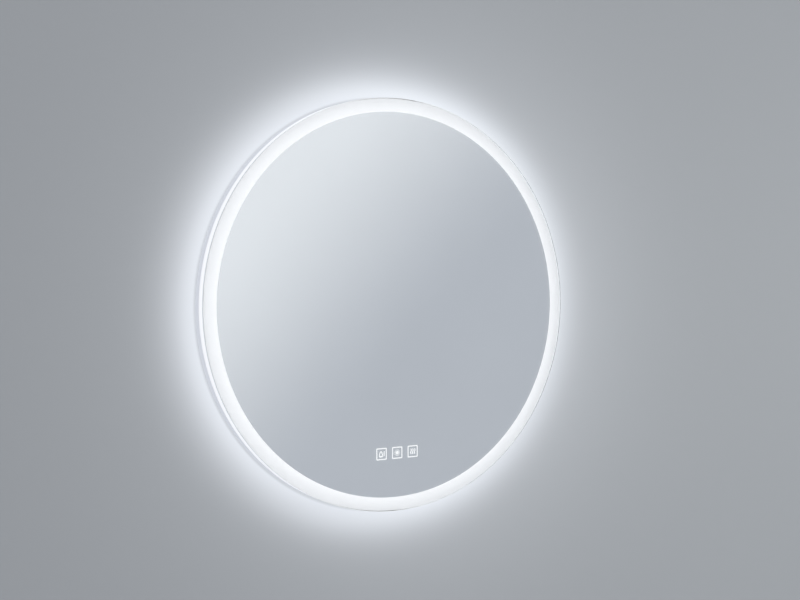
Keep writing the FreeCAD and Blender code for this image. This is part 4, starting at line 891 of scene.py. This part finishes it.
# %% Screws
SCREW_SEAT = 9.0 * MM
SCREW_PROFILE = [
    # radius, level behind the seat and wave: recess, head, shank and tip, in millimetres
    (0.0, 0.8, 0), (0.6, 0.75, 0), (1.35, 0.72, 0.16), (1.4, 1.58, 0.16), (1.5, 1.66, 0.12),
    (1.9, 1.68, 0), (2.35, 1.55, 0), (2.7, 1.25, 0), (2.88, 0.8, 0), (2.9, 0.3, 0), (2.85, 0.04, 0),
    (2.7, 0.0, 0), (1.5, 0.0, 0), (1.5, -2.6, 0), (1.3, -2.9, 0), (0.0, -2.9, 0),
]
screw_profile = np.array(SCREW_PROFILE) * (MM, -MM, 1) + (0, SCREW_SEAT, 0)
screws = turned_set("six_lobed_screws", screw_profile, PAN_SCREWS, steps=72, crease=50.0)
# Bright zinc plate: faintly blue, with a sharp highlight.
zinc_plate = material("zinc_plated_screws", even("#C4C9CF", (0.2, 0.34), 500.0, 2.0))
settle(screws, [zinc_plate], ["pan_screws"])

# %% Rivets
RIVET_SEAT = 7.5 * MM
RIVET_PROFILE = [
    # radius and level from the seat: broken stem, domed head, shank and set end, in millimetres
    (0.0, -0.55), (0.75, -0.6), (0.9, -1.1), (1.1, -1.18), (2.0, -1.08), (3.0, -0.78),
    (3.7, -0.4), (3.98, -0.12), (3.9, 0.0), (2.0, 0.0), (2.0, 2.5), (2.8, 2.5), (2.98, 2.8),
    (2.7, 3.4), (1.9, 3.68), (0.0, 3.7),
]
rivets = turned_set("blind_rivets", np.array(RIVET_PROFILE) * MM + (0, RIVET_SEAT), RIVETS, crease=45.0)
# Rolled aluminium alloy: bright, a little dull from handling.
rivet_aluminium = material("rivet_aluminium", even("#CBCDCE", (0.3, 0.45), 300.0))
settle(rivets, [rivet_aluminium], ["hanger_rivets"])

# %% Bumpers and grommet
BUMPER_PROFILE = [
    # radius and level: foot on the wall, wall of the foot, neck and barb, in millimetres
    (0.0, 0.5), (4.0, 0.42), (6.2, 0.12), (7.0, 0.0), (7.6, 0.15), (7.92, 0.5), (8.0, 1.2),
    (7.9, 4.2), (7.6, 4.8), (7.0, 5.0), (3.0, 5.0), (3.0, 6.3), (4.05, 6.3), (4.2, 6.6),
    (3.4, 8.9), (2.7, 10.3), (2.3, 10.5), (0.0, 10.5),
]
GROMMET_PROFILE = np.array([(4, 3), (9.5, 3), (9.5, 5), (7, 5), (7, 6), (9.5, 6), (9.5, 8), (4, 8)]) * MM
GROMMET_CORNERS = np.array([1.2, 0.9, 0.3, 0.1, 0.1, 0.3, 0.9, 1.2]) * MM


def rubber(tree, place):
    """Black rubber: matt, with a grain of about a millimetre that holds a little dust."""
    dust = add(tree, "TexNoise", {"Vector": place, "Scale": 900.0, "Detail": 3.0})
    settings = {
        "Base Color": add(tree, "ValToRGB", {"Fac": dust}, stops=[(0.3, "#1B1B1C"), (0.8, "#2A2A2B")]),
        "Roughness": 0.75,
        "Normal": add(tree, "Bump", {"Height": dust, "Strength": 0.2, "Distance": 0.2 * MM}),
    }
    return add(tree, "BsdfPrincipled", settings)


black_rubber = material("black_rubber", rubber)
bumper_set = turned_set("rubber_bumpers", np.array(BUMPER_PROFILE) * MM, BUMPERS, crease=40.0)
settle(bumper_set, [black_rubber], ["bumpers"])
grommet_profile = soft_corners(GROMMET_PROFILE, GROMMET_CORNERS, steps=6)
inlet_middle = (INLET[0][0], INLET[0][1] + AXIS_Z)
grommet = turned("inlet_grommet", grommet_profile, steps=64, middle=inlet_middle, crease=50.0)
settle(grommet, [black_rubber], ["cable_grommet"])

# %% [markdown]
# ## The signs of the keys
#
# The three touch keys are square frames etched into the silver and lit from behind: a tone key, a sun
# for the brightness, and waves of warm air for the demister. Each sign is a set of strokes. A stroke is
# a path with a width, and it lies in the hair of room between the pane and the silver.

# %% Strokes
SIGN_LOW, SIGN_HIGH = GLASS_BACK - 0.04 * MM, GLASS_BACK - 0.01 * MM


def stroke(path, width, closed=False):
    """The two edges of a stroke: at each point, half the width to either side of its mean direction.

    The width is one number, or one for each point where the stroke tapers.
    """
    path = np.asarray(path, float)
    width = np.broadcast_to(width, len(path))[:, None]
    if closed:
        ahead, behind = np.roll(path, -1, axis=0), np.roll(path, 1, axis=0)
    else:
        ahead, behind = np.concatenate([path[1:], path[-1:]]), np.concatenate([path[:1], path[:-1]])
    along = ahead - behind
    along = along / np.linalg.norm(along, axis=1)[:, None]
    side = np.stack([-along[:, 1], along[:, 0]], axis=1) * width / 2
    return path + side, path - side, closed


def sign_mesh(name, strokes):
    """Thin solid strokes, each with a front, a back and two sides, in one mesh."""
    points, faces, first = [], [], 0
    for left, right, closed in strokes:
        count = len(left)
        rails = [(left, SIGN_HIGH), (right, SIGN_HIGH), (right, SIGN_LOW), (left, SIGN_LOW)]
        rows = [np.stack([r[:, 0], np.full(count, -level), r[:, 1] + AXIS_Z], axis=1) for r, level in rails]
        points.append(np.stack(rows, axis=1).reshape(-1, 3))
        faces += (grid_faces(count, 4, closed, True) + first).tolist()
        if not closed:
            faces += [[first, first + 1, first + 2, first + 3]]
            faces += [[first + 4 * count - k for k in (1, 2, 3, 4)]]
        first += 4 * count
    return mesh_object(name, np.concatenate(points), faces, crease=30.0)


# %% Key signs
KEY_HEIGHT, KEY_PITCH, KEY_SIDE, KEY_STROKE = -215.5 * MM, 26.4 * MM, 17.5 * MM, 1.7 * MM
KEYS_LEFT, KEY_CORNER = 1.0 * MM, 0.6 * MM
DROP_RADIUS, DROP_TIP, DROP_SHIFT = 2.5, 2.1, (-1.0, -1.1)
SUN_RADIUS, SUN_STROKE, SUN_RAYS = 1.35 * MM, 2.6 * MM, 12
RAY_START, RAY_END, RAY_WIDTHS = 3.2 * MM, 5.2 * MM, (1.1 * MM, 0.5 * MM)
WAVE_SWING, WAVE_TURN, WAVE_STROKE = 0.55 * MM, 1.0 * MM, 1.7 * MM
WAVE_PLACES = (-2.9 * MM, 0.3 * MM, 3.5 * MM)

tone_x, sun_x, heat_x = -KEY_PITCH - KEYS_LEFT, -KEYS_LEFT, KEY_PITCH - KEYS_LEFT
key_side = KEY_SIDE - KEY_STROKE
strokes = []
for x in (tone_x, sun_x, heat_x):
    square = round_box(x, KEY_HEIGHT, key_side, key_side, KEY_CORNER, 0, 1.0)
    strokes.append(stroke(square, KEY_STROKE, True))
# The tone sign, in millimetres from its middle: a drop, a foot below it and a level bar.
turn = np.linspace(0, 2 * math.pi, 48, endpoint=False)
drop_reach = DROP_RADIUS + DROP_TIP * np.maximum(0, np.sin(turn)) ** 6
drop = np.stack([drop_reach * np.cos(turn), drop_reach * np.sin(turn)], axis=1) + DROP_SHIFT
foot = [(-4.4, -3.7), (-1.0, -4.3), (2.6, -3.7)]
level_bar = [(4.2, -3.4), (4.4, 3.8)]
for path, width, closed in ((drop, 1.6, True), (foot, 1.3, False), (level_bar, 1.6, False)):
    strokes.append(stroke(np.array(path) * MM + (tone_x, KEY_HEIGHT), width * MM, closed))
# The sun: a filled disc and its tapered rays.
strokes.append(stroke(circle(sun_x, KEY_HEIGHT, SUN_RADIUS, 32), SUN_STROKE, True))
for a in np.linspace(0, 2 * math.pi, SUN_RAYS, endpoint=False):
    ray = [(sun_x + r * math.cos(a), KEY_HEIGHT + r * math.sin(a)) for r in (RAY_START, RAY_END)]
    strokes.append(stroke(ray, RAY_WIDTHS))
# The waves: x = swing times the sine of (z / turn).
wave_z = np.linspace(-4.0, 4.0, 32) * MM
for x in WAVE_PLACES:
    wave_x = heat_x + x + WAVE_SWING * np.sin(wave_z / WAVE_TURN)
    strokes.append(stroke(np.stack([wave_x, KEY_HEIGHT + wave_z], axis=1), WAVE_STROKE))


def lit_etching(tree, place):
    """Etched lines with white light behind them, a little uneven as blasting leaves them."""
    grit = add(tree, "TexNoise", {"Vector": place, "Scale": 900.0})
    glow = add(tree, "MapRange", {"Value": grit, "To Min": 0.96, "To Max": 1.1})
    return add(tree, "Emission", {"Color": linear("#FBFCFF"), "Strength": glow})


signs = sign_mesh("key_signs", strokes)
settle(signs, [material("lit_etching", lit_etching)])

# %% [markdown]
# ## What stays hidden
#
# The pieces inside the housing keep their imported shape, because no view reaches them. Each still has
# its own finish, for somebody who takes the pan off or looks through a vent.


# %% Finishes of the inner pieces
def plastic(tone, roughness=0.45, mottle=0.06, scale=200.0):
    """A builder for moulded plastic or foam: one tone with a faint mottle and a fine bump."""

    def build(tree, place):
        fine = add(tree, "TexNoise", {"Vector": place, "Scale": scale, "Detail": 3.0})
        shade = add(tree, "MapRange", {"Value": fine, "To Min": 1 - mottle, "To Max": 1 + mottle})
        settings = {
            "Base Color": add(tree, "VectorMath", {0: linear(tone)[:3], "Scale": shade}, operation="SCALE"),
            "Roughness": roughness,
            "Normal": add(tree, "Bump", {"Height": fine, "Strength": 0.1, "Distance": 0.1 * MM}),
        }
        return add(tree, "BsdfPrincipled", settings)

    return build


def lit_diode(tree, place):
    """A white diode: a glowing phosphor with a slightly blue grain of half a millimetre."""
    fleck = add(tree, "TexNoise", {"Vector": place, "Scale": 2000.0})
    tone = add(tree, "ValToRGB", {"Fac": fleck}, stops=[(0.3, "#F4F6FF"), (0.7, "#FFFFFF")])
    return add(tree, "Emission", {"Color": tone, "Strength": 2.0})


GREY_CASES = ["terminal_box", "terminal_cover", "cord_clamp", "driver_case", "driver_lid"]
BRASS_PARTS = ["earth_stud", "earth_tag", "earth_nut"]
WHITE_LEADS = ["front_lead", "rear_lead", "mains_lead", "touch_lead", "demister_lead"]
INNER = (
    # record slot, material, builder, nodes
    ("foam_tape", "foam_tape", plastic("#E4E4E0", 0.8, 0.1, 900.0), ["bonding_tape"]),
    ("heating_film", "printed_heating_film", plastic("#C9A36A", 0.3, 0.15, 60.0), ["demister_pad"]),
    ("circuit_strip", "flexible_circuit", plastic("#E9E7DC"), ["front_strip", "rear_strip"]),
    ("led", "lit_diodes", lit_diode, ["front_leds", "rear_leds", "touch_leds"]),
    ("black_foam", "black_foam", plastic("#1E1E1F", 0.9, 0.3, 1500.0), ["touch_light_frame"]),
    ("circuit_board", "green_circuit_board", plastic("#24523A", 0.35), ["touch_board"]),
    ("white_nylon", "white_nylon", plastic("#E6E5DF"), ["touch_plug", "terminal_block", "lead_clips"]),
    ("grey_plastic", "light_grey_plastic", plastic("#C3C5C6", 0.5), GREY_CASES),
    ("brass_parts", "brass", even("#C8A75A", (0.25, 0.4), 400.0), BRASS_PARTS),
    ("anodised_aluminium", "splice_aluminium", even("#C0C3C5", (0.3, 0.45), 400.0), ["ring_splice"]),
    ("lead_sheath", "white_lead_sheath", plastic("#DFE0E0"), WHITE_LEADS),
    ("earth_sheath", "green_yellow_sheath", plastic("#8FA63A"), ["earth_lead"]),
)


def dress(node, finish, slot):
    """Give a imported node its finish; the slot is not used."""
    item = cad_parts[node]
    item.data.materials.clear()
    item.data.materials.append(finish)
    item.data.shade_smooth()
    item.data.set_sharp_from_angle(angle=math.radians(30))
    finished.add(node)


for slot_name, finish_name, build, nodes in INNER:
    finish = material(finish_name, build)
    for node in nodes:
        dress(node, finish, slot_name)
for node in ("splice_screws", "driver_screws", "box_screws", "terminal_screws", "clamp_screws"):
    dress(node, zinc_plate, "zinc_screws")
print("nodes without a finish:", sorted(set(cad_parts) - finished))
